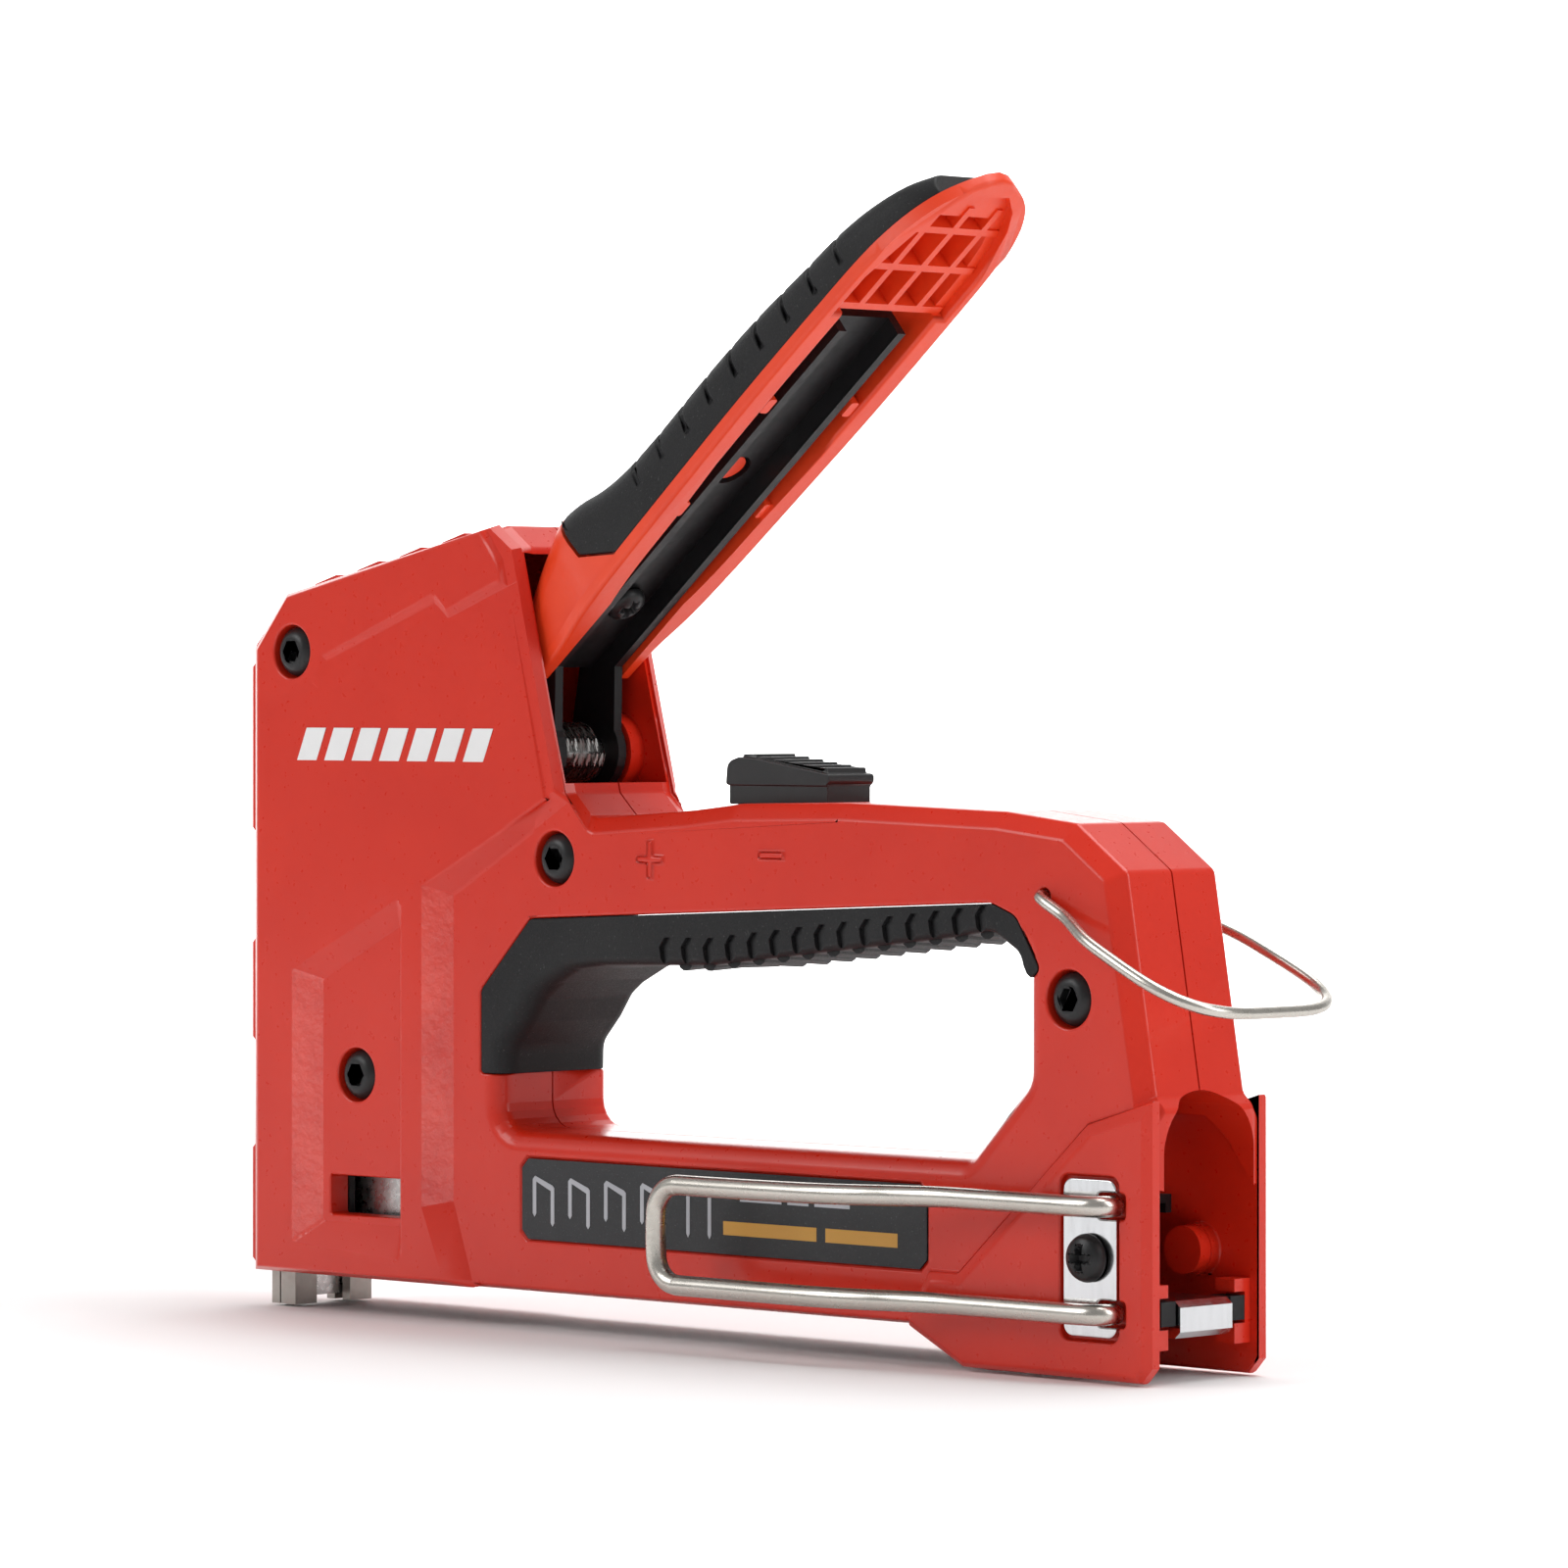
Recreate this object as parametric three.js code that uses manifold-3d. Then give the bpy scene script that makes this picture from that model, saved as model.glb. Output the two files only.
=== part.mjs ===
// Hand-operated staple gun with a moulded metal housing, a squeeze handle, a spring-driven striker,
// a rear-loading magazine, a power slider, a belt clip and a wire bail that locks the handle shut.
// Millimetres, +Z up. +X runs from the nose to the heel, Y = 0 is the parting plane of the housing.
import * as THREE from "three";
import { mergeVertices } from "three/addons/utils/BufferGeometryUtils.js";
import Module from "manifold-3d";

const wasm = await Module();
wasm.setup();

// ---------- driving dimensions ----------
const bodyLength = 188;        // nose face to heel
const headTop = 120.2;         // highest point of the head, at its rear
const headDepth = 57.2;        // nose face to the rear end of the roof
const headHalfWidth = 13.5;
const headRearHalfWidth = 12.8; // across the rear edge of the head, beside the handle
const gripHalfWidth = 11.5;
const heelHalfWidth = 13;
const partingGap = 0.3;        // between the two shells
const fitGap = 0.3;            // between a piece and the seat it lies in
const runGap = 0.5;            // around a piece that moves
const tunnelHalfWidth = 8.3;   // magazine tunnel
const headCavityHalfWidth = 10.6;
const columnReach = 10.8;      // inner columns and ribs run this far into the side walls
const heelCavityHalfWidth = 10.4;
const bottomZ = 5.4;           // underside of the housing, above the nose feet
const gripTop = 79.3;
const screwHeadRadius = 3.8;
const screwHeadHeight = 2.2;
const screwShankRadius = 1.9;
const nutRadius = 4;           // across corners
const nutHeight = 3;
const nutDepth = 6.4;          // nut's inner face, from the parting plane
const pivotX = 60;             // handle pivot
const pivotZ = 86;
const pivotPinRadius = 2.5;
const handleOpenAngle = 39.35; // slope of the open handle, degrees
const handleSqueeze = 38;      // travel of the handle, degrees
const handleLength = 121.2;    // pivot to the free end
const rimLevel = 6.2;          // rim plane of the handle, from the pivot
const rimHeight = 1.9;
const coverWall = 1.6;
const gripRubber = 1.8;
const channelHalfWidth = 7;
const channelWall = 1.6;
const channelWebLevel = 10;
const channelEnd = 88;
const pickupReach = 25;        // pivot to the roller that lifts the striker
const strikerLift = 16;
const strikerX = 22;           // axis of the main spring
const springRadius = 7;
const springWire = 1.8;
const springTurns = 7;
const plungerBottom = 50;
const plungerTop = 62;
const springSeatLevel = 96;
const noseHalfWidth = 8;
const nosePlate = 1.8;
const noseX = 2.4;
const footNotch = 3.5;
const bladeThickness = 0.9;
const bladeHalfWidth = 5.3;
const channelTop = 24.6;       // top of the fixed magazine channel
const railHalfWidth = 4.6;
const railTop = 20.2;
const rodLevel = 14;
const rodRadius = 1.1;
const bailX = 167.4;
const bailZ = 66.7;
const bailReach = 36;
const bailRest = 25.5;         // degrees below level
const bailHalfWidth = 16.6;
const bailWire = 1.7;
const rollerRadius = 2.2;
const handleScrewAt = 24;     // along the handle from its pivot
const clipWire = 3;
const clipX = 177.4;           // centre of the clip plate
const clipZ = 17;
const knobX = 109;             // centre of the power knob at its low setting
const knobHalfLength = 10.5;
const knobHalfWidth = 4.8;
const knobFoot = [8, 2.9];     // half length and half width of the foot in the slot
const knobSlotHalf = 3.2;
const knobTravel = 22;

const red = { color: 0xde3a2b, roughness: 0.35, metalness: 0.1 };
const redPlastic = { color: 0xcd3728, roughness: 0.45, metalness: 0 };
const rubber = { color: 0x242424, roughness: 0.8, metalness: 0 };
const blackPlastic = { color: 0x1b1b1b, roughness: 0.5, metalness: 0 };
const blackSteel = { color: 0x16171a, roughness: 0.35, metalness: 0.8 };
const steel = { color: 0xa9a59c, roughness: 0.35, metalness: 1 };
const chrome = { color: 0xd8d8d8, roughness: 0.15, metalness: 1 };
const sticker = { color: 0x202225, roughness: 0.6, metalness: 0 };

// ---------- geometry helpers ----------
const rad = THREE.MathUtils.degToRad;

// a closed BufferGeometry as a manifold solid
function solid(geometry) {
  const g = geometry.index ? geometry.toNonIndexed() : geometry;
  g.deleteAttribute("normal");
  g.deleteAttribute("uv");
  const m = mergeVertices(g, 1e-4);
  const mesh = new wasm.Mesh({
    numProp: 3,
    vertProperties: Float32Array.from(m.attributes.position.array),
    triVerts: Uint32Array.from(m.index.array),
  });
  return new wasm.Manifold(mesh);
}

// a manifold solid back as a BufferGeometry
function geometryOf(manifold) {
  const mesh = manifold.getMesh();
  const g = new THREE.BufferGeometry();
  g.setAttribute("position", new THREE.BufferAttribute(mesh.vertProperties, 3));
  g.setIndex(new THREE.BufferAttribute(mesh.triVerts, 1));
  return g;
}

const join = (...parts) => parts.reduce((a, b) => a.add(b));
const cut = (base, ...tools) => tools.reduce((a, b) => a.subtract(b), base);

function shapeOf(points) {
  return new THREE.Shape(points.map(([a, b]) => new THREE.Vector2(a, b)));
}

// an outline extruded with its first coordinate along u, its second along v
function extrusion(points, from, to, u, v) {
  const g = new THREE.ExtrudeGeometry(shapeOf(points), { depth: to - from, bevelEnabled: false });
  const w = new THREE.Vector3().crossVectors(u, v);
  g.applyMatrix4(new THREE.Matrix4().makeBasis(u, v, w));
  g.translate(w.x * from, w.y * from, w.z * from);
  return solid(g);
}

const AX = new THREE.Vector3(1, 0, 0);
const AY = new THREE.Vector3(0, 1, 0);
const AZ = new THREE.Vector3(0, 0, 1);

// X-Z outline between two Y values
const sidePlate = (points, y0, y1) => extrusion(points, -Math.max(y0, y1), -Math.min(y0, y1), AX, AZ);
// X-Y outline between two Z values
const slab = (points, z0, z1) => extrusion(points, z0, z1, AX, AY);
// Y-Z section between two X values
const bar = (points, x0, x1) => extrusion(points, x0, x1, AY, AZ);

function rect(a0, a1, b0, b1) {
  return [[a0, b0], [a1, b0], [a1, b1], [a0, b1]];
}

const box = (x0, x1, y0, y1, z0, z1) => slab(rect(x0, x1, y0, y1), z0, z1);

// cylinder along an axis letter
function rod(axis, radius, from, to, a, b, sides = 20) {
  const g = new THREE.CylinderGeometry(radius, radius, to - from, sides);
  const mid = (from + to) / 2;
  if (axis === "x") g.rotateZ(Math.PI / 2).translate(mid, a, b);
  if (axis === "y") g.translate(a, mid, b);
  if (axis === "z") g.rotateX(Math.PI / 2).translate(a, b, mid);
  return solid(g);
}

// solid skinned over rings that all have the same number of points
function loft(rings) {
  const n = rings[0].length;
  const positions = [];
  const tri = (a, b, c) => positions.push(...a, ...b, ...c);
  for (let i = 0; i + 1 < rings.length; i += 1) {
    for (let k = 0; k < n; k += 1) {
      const j = (k + 1) % n;
      tri(rings[i][k], rings[i][j], rings[i + 1][j]);
      tri(rings[i][k], rings[i + 1][j], rings[i + 1][k]);
    }
  }
  const flat = rings[0].map((p) => new THREE.Vector2(p.u, p.v));
  for (const [a, b, c] of THREE.ShapeUtils.triangulateShape(flat, [])) {
    const first = rings[0];
    const last = rings[rings.length - 1];
    tri(first[c], first[b], first[a]);
    tri(last[a], last[b], last[c]);
  }
  const g = new THREE.BufferGeometry();
  g.setAttribute("position", new THREE.Float32BufferAttribute(positions, 3));
  return solid(g);
}

// ring of an X-Z outline at depth y; u and v keep the flat coordinates for the caps
function ringXZ(points, y) {
  return points.map(([x, z]) => Object.assign([x, y, z], { u: x, v: z }));
}

// block whose outline changes from one depth to another; both outlines run anticlockwise in X-Z
function taper(a, ya, b, yb) {
  const rings = ya > yb ? [ringXZ(a, ya), ringXZ(b, yb)] : [ringXZ(b, yb), ringXZ(a, ya)];
  return loft(rings);
}

// outline moved inwards, edge by edge, by the given distances (one value or one per edge)
function inset(points, distances) {
  const n = points.length;
  const dist = (i) => (Array.isArray(distances) ? distances[i % n] : distances);
  const line = (i) => {
    const [x0, z0] = points[i % n];
    const [x1, z1] = points[(i + 1) % n];
    const length = Math.hypot(x1 - x0, z1 - z0);
    const nx = -(z1 - z0) / length;
    const nz = (x1 - x0) / length;
    return { x: x0 + nx * dist(i), z: z0 + nz * dist(i), dx: x1 - x0, dz: z1 - z0 };
  };
  return points.map((_, i) => {
    const p = line((i + n - 1) % n);
    const q = line(i);
    const t = ((q.x - p.x) * q.dz - (q.z - p.z) * q.dx) / (p.dx * q.dz - p.dz * q.dx);
    return [p.x + p.dx * t, p.z + p.dz * t];
  });
}

// regular polygon standing in for a wire's round section
function wireSection(diameter, sides) {
  const corner = (i) => [Math.cos((2 * Math.PI * i) / sides), Math.sin((2 * Math.PI * i) / sides)];
  return shapeOf(Array.from({ length: sides }, (_, i) => corner(i).map((v) => (v * diameter) / 2)));
}

// helix as a closed round wire; place turns the two radial coordinates and the height into a point
function coil(radius, wire, turns, from, to, place, sides = 6, steps = 12) {
  class Helix extends THREE.Curve {
    getPoint(t, target = new THREE.Vector3()) {
      const angle = 2 * Math.PI * turns * t;
      return target.set(...place(radius * Math.cos(angle), radius * Math.sin(angle), from + (to - from) * t));
    }
  }
  return solid(new THREE.ExtrudeGeometry(wireSection(wire, sides), {
    steps: turns * steps,
    extrudePath: new Helix(),
    bevelEnabled: false,
  }));
}

// round wire along a smooth path
function wireAlong(points, diameter, steps, sides = 8) {
  const path = new THREE.CatmullRomCurve3(points.map((p) => new THREE.Vector3(...p)), false, "centripetal");
  return solid(new THREE.ExtrudeGeometry(wireSection(diameter, sides), {
    steps,
    extrudePath: path,
    bevelEnabled: false,
  }));
}

// ---------- outlines of the housing, X-Z, anticlockwise ----------
const heelStart = bodyLength - 46;
const gripOutline = [
  [0, bottomZ], [heelStart, bottomZ], [heelStart + 10.6, 0.2], [heelStart + 14, 0],
  [bodyLength - 2, 0], [bodyLength, 2.2], [bodyLength, 37.6], [bodyLength - 1.7, 39.2],
  [bodyLength - 7, 70.3], [bodyLength - 16.3, 76.9], [bodyLength - 29.8, 78.4], [127.4, gripTop],
  [106.1, 78.9], [96.1, 77.8], [headDepth + 18.2, 76.4], [headDepth + 14.4, 80],
  [headDepth + 10.8, 93.2], [headDepth + 4.8, headTop - 3.5], [headDepth, headTop],
  [9.5, headTop - 10], [0, headTop - 19.7],
];
const handHole = [
  [57, 45], [57, 33.4], [57.7, 31], [59.6, 29.5], [61, 29.3], [152.6, 29.3], [163.8, 40.6],
  [163.8, 60], [120, 60],
];
const insertOuter = [
  [53.3, 37.8], [68, 37.8], [140, 52], [163.6, 54.8], [166.5, 56.4], [161.9, 63.8],
  [157.3, 65.5], [63.9, 61.2], [53.3, 50.3],
];
const insertInner = [
  [58.1, 30], [170, 30], [170, 54.8], [163.9, 55], [162.8, 58.4], [157.3, 61.6], [147.9, 60.3],
  [101.1, 55.2], [79.3, 54.7], [72.6, 53.9], [68.3, 51.8], [64.6, 49.1], [62.1, 45.6], [58.4, 41.6],
];
// raised side face of the head; its rear edge slopes down to the grip
const headFace = [
  [5, bottomZ + 0.8], [47, bottomZ + 0.8], [42.4, 17.2], [42.4, 65.9], [60, 74.5], [68.5, 78.9],
  [headDepth + 1.6, 114.3], [headDepth - 2.2, headTop - 1], [12, headTop - 10.5], [5, headTop - 18.7],
];
const headFaceBase = [
  [2.2, bottomZ], [52.4, bottomZ], [47.9, 18.3], [47.9, 64.4], [64, 73.6], [headDepth + 13.5, 79.4],
  [headDepth + 3.8, headTop - 3.5], [headDepth, headTop], [9.5, headTop - 10], [2.2, headTop - 18.3],
];
// thickened rear edge of the head, between the raised face and the handle
const headRearBase = [
  [50, 75], [64.5, 73.8], [headDepth + 16.2, 78.2], [headDepth + 14.4, 80], [headDepth + 10.8, 93.2],
  [headDepth + 4.8, headTop - 3.5], [headDepth, headTop], [50, headTop - 1.5],
];
const headRearFace = [
  [50, 78], [62, 77.4], [headDepth + 13.4, 80.4], [headDepth + 13.2, 81.4], [headDepth + 10.2, 93],
  [headDepth + 4.2, headTop - 3.8], [headDepth - 0.4, headTop - 0.6], [50, headTop - 2.1],
];
const heelFace = [
  [heelStart + 1, bottomZ + 0.9], [heelStart + 11, 1], [bodyLength - 2.4, 1], [bodyLength - 1.2, 2.6],
  [bodyLength - 1.2, 36.4], [bodyLength - 11, 33.6], [heelStart + 10.8, 12], [heelStart + 5, 12],
];
const heelFaceBase = [
  [heelStart, bottomZ], [heelStart + 10.6, 0.2], [bodyLength - 2, 0], [bodyLength, 2.2],
  [bodyLength, 39], [bodyLength - 12, 35.4], [heelStart + 9.6, 13.4], [heelStart + 4, 13.4],
];
const screwPlaces = [
  { name: "top", x: 13, z: 101.3, face: headHalfWidth },
  { name: "nose", x: 26, z: 36.5, face: headHalfWidth - 1.6 },
  { name: "middle", x: 69.2, z: 70.3, face: gripHalfWidth },
  { name: "rear", x: 172, z: 52.5, face: gripHalfWidth },
];
const bossRadius = 4.6;

// ---------- one half of the housing; side is -1 for the left half and +1 for the right ----------
function shell(side) {
  const inner = side * partingGap / 2;
  const grip = side * gripHalfWidth;
  const head = side * headHalfWidth;
  const heel = side * heelHalfWidth;
  const rearFace = side * (gripHalfWidth - 2.3);
  const noseEdge = gripOutline.length - 1;
  const edge = gripOutline.map((_, i) => (i === noseEdge || (i >= 6 && i <= 13) ? 2.4 : 0.6));
  let body = join(
    sidePlate(gripOutline, inner, rearFace),
    taper(gripOutline, rearFace, inset(gripOutline, edge), grip),
    taper(headFaceBase, side * (gripHalfWidth - 0.2), headFace, head),
    taper(headRearBase, side * (gripHalfWidth - 0.2), headRearFace, side * headRearHalfWidth),
    sidePlate(heelFaceBase, side * (heelCavityHalfWidth + 0.1), side * (heelHalfWidth - 1)),
    taper(heelFaceBase, side * (heelHalfWidth - 1), heelFace, heel),
  );
  // low pads on the nose face and across the roof
  const pads = [[73, 100], [40.4, 57.1], [bottomZ + 0.6, 25.1]].map(([z0, z1]) => sidePlate(
    [[-1, z0 + 1], [0.5, z0 - 0.4], [0.5, z1 + 0.4], [-1, z1 - 1]].reverse(), inner, side * 9));
  const roofSlope = (headDepth - 9.5) / 10;
  const ridges = [4, 13.6, 23.2, 32.7].map((x) => {
    const z = (d) => headTop - 10 + (x + 8.7 + d - 9.5) / roofSlope;
    return sidePlate([[x + 8.7, z(0) - 1], [x + 15.1, z(6.4) - 1], [x + 14.3, z(6.4) + 0.9], [x + 9.5, z(0) + 0.9]],
      inner, side * 9);
  });
  body = join(body, ...pads, ...ridges);
  // inside of the head, open at the rear for the handle
  const headCavity = sidePlate([
    [noseX - 0.2, 27], [49.8, 27], [49.8, 60], [52, 72], [54, 77.6], [62, 78.6], [66, 81.5], [74.5, 81.5], [74.5, 90],
    [headDepth + 5, headTop - 4.2], [headDepth - 2.2, headTop - 4.4], [10.3, headTop - 13], [noseX - 0.2, headTop - 21],
  ], -side, side * headCavityHalfWidth);
  const tunnel = bar(rect(...[-side, side * tunnelHalfWidth].sort((a, b) => a - b), -1, channelTop + 0.7), noseX - 0.2, 160);
  const heelRoom = sidePlate([
    [150, -1], [bodyLength + 2, -1], [bodyLength + 2, 24], [bodyLength - 8, 36], [160, 36], [154, 27], [150, 27],
  ], -side, side * heelCavityHalfWidth);
  const arch = bar(archOutline(9.5, 31.5, side), 158, bodyLength + 3);
  const gripCavity = sidePlate(rect(80, 158, 69, 73.4), -side, side * 7.6);
  const knobSlot = box(knobX - knobTravel - knobFoot[0] - 1, knobX + knobFoot[0] + 0.5, ...[-side, side * knobSlotHalf].sort((a, b) => a - b), 70, gripTop + 2);
  const hole = sidePlate(handHole, -side, side * 20);
  const seat = sidePlate(inset(insertOuter, -fitGap), -side, side * 20);
  // sloped pocket beside the nose with the staple window in it
  const pocket = taper(
    [[13.2, 10.2], [37.6, 8.6], [37.6, 63.7], [13.2, 52.2]], side * (headHalfWidth + 0.1),
    [[18.6, 13.8], [36.6, 13.8], [36.6, 59.7], [18.6, 50.8]], side * (headHalfWidth - 1.6));
  const window = box(20.2, 36.6, ...[side * 4, side * 20].sort((a, b) => a - b), 15, 21);
  const labelRecess = sidePlate(labelOutline(fitGap), side * (gripHalfWidth - 0.6), side * 20);
  const clipRecess = sidePlate(rect(clipX - 5.6, clipX + 5.2, clipZ - 11.6, clipZ + 11.4),
    side * (heelHalfWidth - 1.2), side * 20);
  body = cut(body, headCavity, tunnel, heelRoom, arch, gripCavity, knobSlot, hole, seat, pocket, window, labelRecess);
  if (side < 0) {
    body = cut(body, clipRecess);
  }
  // solid columns for the screws, then their holes
  for (const s of screwPlaces) {
    const column = rod("y", bossRadius, Math.min(inner, side * columnReach), Math.max(inner, side * columnReach), s.x, s.z);
    body = join(body, column);
  }
  const pivotBoss = rod("y", 6, Math.min(side * 7.8, side * columnReach), Math.max(side * 7.8, side * columnReach), pivotX, pivotZ);
  const shelf = box(noseX + 6, 49.9, ...[inner, side * columnReach].sort((a, b) => a - b), 41.2, 44);
  const seatRib = box(noseX, strikerX + 6.9, ...[inner, side * columnReach].sort((a, b) => a - b), springSeatLevel + 2.6, springSeatLevel + 5.2);
  body = join(body, pivotBoss, shelf, seatRib);
  // posts inside the heel that hold the magazine latch
  const post = cut(
    box(bodyLength - 5, bodyLength - 1.5, ...[side * 7, side * 10.6].sort((a, b) => a - b), bottomZ - 1, 13.4),
    box(bodyLength - 8, bodyLength + 2, ...[side * 5, side * 9.2].sort((a, b) => a - b), 7.2, 11.6));
  const clipBoss = rod("y", 3.4, Math.min(side * 6.4, side * 10.6), Math.max(side * 6.4, side * 10.6), clipX, clipZ);
  body = join(body, post, clipBoss);
  for (const s of screwPlaces) {
    const y = (v) => side * v;
    const span = (a, b) => [Math.min(y(a), y(b)), Math.max(y(a), y(b))];
    body = cut(body, rod("y", screwShankRadius + 0.15, ...span(-1, 14), s.x, s.z));
    if (side < 0) body = cut(body, rod("y", screwHeadRadius + fitGap, ...span(s.face - screwHeadHeight, 16), s.x, s.z));
    if (side > 0) body = cut(body, rod("y", nutRadius + fitGap, ...span(nutDepth - fitGap, 16), s.x, s.z, 6));
  }
  const [p0, p1] = [Math.min(side * -1, side * 9.4), Math.max(side * -1, side * 9.4)];
  const [b0, b1] = [Math.min(side * 9, side * 14), Math.max(side * 9, side * 14)];
  const [c0, c1] = [Math.min(side * 4, side * 14), Math.max(side * 4, side * 14)];
  body = cut(
    body,
    rod("y", pivotPinRadius + 0.05, p0, p1, pivotX, pivotZ),
    rod("y", bailWire / 2 + fitGap, b0, b1, bailX, bailZ, 12),
    box(noseX - 0.2, noseX + 5.6, ...[-side, side * (noseHalfWidth + fitGap)].sort((a, b) => a - b), -1, 46.4),
    rod("y", 6.6, Math.min(-side, side * 7.6), Math.max(-side, side * 7.6), pivotX, pivotZ),
  );
  if (side < 0) body = cut(body, rod("y", 1.6, c0, c1, clipX, clipZ, 12), ...clipHoles(side));
  return body;
}

function archOutline(halfWidth, spring, side) {
  const points = [[-side, -1], [side * halfWidth, -1]];
  for (let i = 0; i <= 6; i += 1) {
    const a = (i / 6) * (Math.PI / 2);
    points.push([side * halfWidth * Math.cos(a), spring + (halfWidth - 1) * Math.sin(a)]);
  }
  points.push([-side, spring + halfWidth - 1]);
  return side > 0 ? points : points.reverse();
}

function labelOutline(grow) {
  const g = grow;
  return [
    [63.6 - g, 13.4 - g], [143.6 + g, 13.4 - g], [145 + g, 14.8], [145 + g, 24], [143.6 + g, 25.4 + g],
    [63.6 - g, 25.4 + g], [62.3 - g, 24], [62.3 - g, 14.8],
  ];
}

const clipLegs = [clipZ + 7.3, clipZ - 7.6];
function clipHoles(side) {
  return clipLegs.map((z) => box(clipX + 1.6, clipX + 6.4,
    ...[side * 10.8, side * 16].sort((a, b) => a - b), z - clipWire / 2 - fitGap, z + clipWire / 2 + fitGap));
}

// ---------- fixed pieces ----------
function gripInsert() {
  const y = gripHalfWidth - 0.1;
  return cut(sidePlate(insertOuter, -y, y), sidePlate(insertInner, -y - 1, y + 1));
}

function housingScrew(s) {
  const head = rod("y", screwHeadRadius, -s.face - 0.1, -s.face + screwHeadHeight - 0.2, s.x, s.z);
  const socket = rod("y", 1.5, -s.face - 1, -s.face + 1.2, s.x, s.z, 6);
  const shank = rod("y", screwShankRadius, -s.face + 1, nutDepth - 0.2, s.x, s.z, 16);
  return cut(join(head, shank), socket);
}

function housingNut(s) {
  return rod("y", nutRadius, nutDepth, nutDepth + nutHeight, s.x, s.z, 6);
}

function noseFrontPlate() {
  const plate = box(noseX, noseX + nosePlate, -noseHalfWidth, noseHalfWidth, 0, 46);
  return cut(plate, box(noseX - 1, noseX + 3, -footNotch, footNotch, -1, 4.4));
}

function noseGuideBlock() {
  const x0 = noseX + nosePlate + 0.3;
  const block = box(x0, noseX + 5.4, -noseHalfWidth, noseHalfWidth, 0, 40.6);
  const slot = box(x0 - 1, x0 + bladeThickness + 0.6, -bladeHalfWidth - 0.3, bladeHalfWidth + 0.3, -1, 50);
  const notch = box(x0 - 1, x0 + 6, -footNotch, footNotch, -1, 4.4);
  return cut(block, slot, notch);
}

function magazineChannel() {
  const half = tunnelHalfWidth - fitGap;
  const x0 = noseX + 6;
  const x1 = bodyLength - 14;
  const wall = 1.2;
  const outer = bar(rect(-half, half, bottomZ + 1.6, channelTop), x0, x1);
  const inside = bar(rect(-half + wall, half - wall, 0, channelTop - wall), x0 - 1, x1 + 1);
  const tail = sidePlate([[x1 - 18, 0], [x1 + 1, 0], [x1 + 1, channelTop - 2.6], [x1 - 4, channelTop - 2.6]], -9, 9);
  const window = box(20.2, 36.6, -9, 9, 15, 21);
  return cut(outer, inside, tail, window);
}

function mainSpring() {
  return coil(springRadius - springWire / 2, springWire, springTurns, plungerTop + springWire / 2 + 0.2,
    springSeatLevel - springWire / 2 - 0.2, (a, b, t) => [strikerX + a, b, t]);
}

function springSeat() {
  const plate = box(strikerX - 12, strikerX + 6.9, -9.4, 9.4, springSeatLevel, springSeatLevel + 2.3);
  const peg = rod("z", springRadius - springWire - 0.6, springSeatLevel - 5, springSeatLevel + 1, strikerX, 0, 16);
  return join(cut(plate, rod("y", bossRadius + fitGap, -12, 12, 13, 101.3)), peg);
}

function bumper() {
  return box(strikerX - 12, strikerX + 11, -9, 9, 44.2, plungerBottom - 0.3);
}

function leverReturnSpring() {
  return coil(4.2, 1, 5, -3.6, 3.6, (a, b, t) => [pivotX + a, t, pivotZ + b]);
}

function detentSpring() {
  return box(84, 154, -3, 3, 69.3, 69.8);
}

function clipPlate() {
  const y = -heelHalfWidth + 1;
  const plate = sidePlate(roundedRect(clipX - 5, clipX + 4.8, clipZ - 11, clipZ + 10.9, 1.4), y, y - 1);
  const slots = clipLegs.map((z) => box(clipX + 1.4, clipX + 6, -16, -8, z - clipWire / 2 - 0.25, z + clipWire / 2 + 0.25));
  return cut(plate, rod("y", 1.7, -16, -8, clipX, clipZ, 12), ...slots);
}

function roundedRect(x0, x1, z0, z1, r) {
  const points = [];
  const corners = [[x1 - r, z0 + r, -90], [x1 - r, z1 - r, 0], [x0 + r, z1 - r, 90], [x0 + r, z0 + r, 180]];
  for (const [cx, cz, start] of corners) {
    for (let i = 0; i <= 3; i += 1) {
      const a = rad(start + i * 30);
      points.push([cx + r * Math.cos(a), cz + r * Math.sin(a)]);
    }
  }
  return points;
}

function clipScrew() {
  const y = -heelHalfWidth - fitGap;
  const head = rod("y", 3.4, y - 2.2, y, clipX, clipZ);
  const shank = rod("y", 1.4, y - 1, y + 7, clipX, clipZ, 12);
  const drive = join(
    box(clipX - 1.8, clipX + 1.8, y - 4, y - 1.2, clipZ - 0.4, clipZ + 0.4),
    box(clipX - 0.4, clipX + 0.4, y - 4, y - 1.2, clipZ - 1.8, clipZ + 1.8));
  return cut(join(head, shank), drive);
}

function beltClip() {
  const yPlate = -heelHalfWidth;
  const [top, low] = clipLegs;
  const leg = (z, dz) => [
    [clipX + 3.6, yPlate + 1.4, z], [clipX + 3.9, yPlate - 0.6, z], [clipX + 2, yPlate - 2.6, z],
    [clipX - 4, yPlate - 3, z], [clipX - 26, yPlate - 3.4, z], [clipX - 36, yPlate - 5.8, z + dz * 0.3],
    [clipX - 46, yPlate - 7.6, z + dz * 0.6], [clipX - 66, yPlate - 7.8, z + dz],
  ];
  const end = clipX - 77.2;
  const turn = [[end + 2.6, yPlate - 7.8, top - 1.2], [end, yPlate - 7.8, top - 3.6], [end, yPlate - 7.8, low + 3.2],
    [end + 2.6, yPlate - 7.8, low + 0.8]];
  const path = [...leg(top, -0.4), ...turn, ...leg(low, 0).reverse()];
  return wireAlong(path, clipWire, 110, 8);
}

function label(side) {
  return sidePlate(labelOutline(0), side * (gripHalfWidth - 0.5), side * (gripHalfWidth - 0.1));
}

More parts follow.
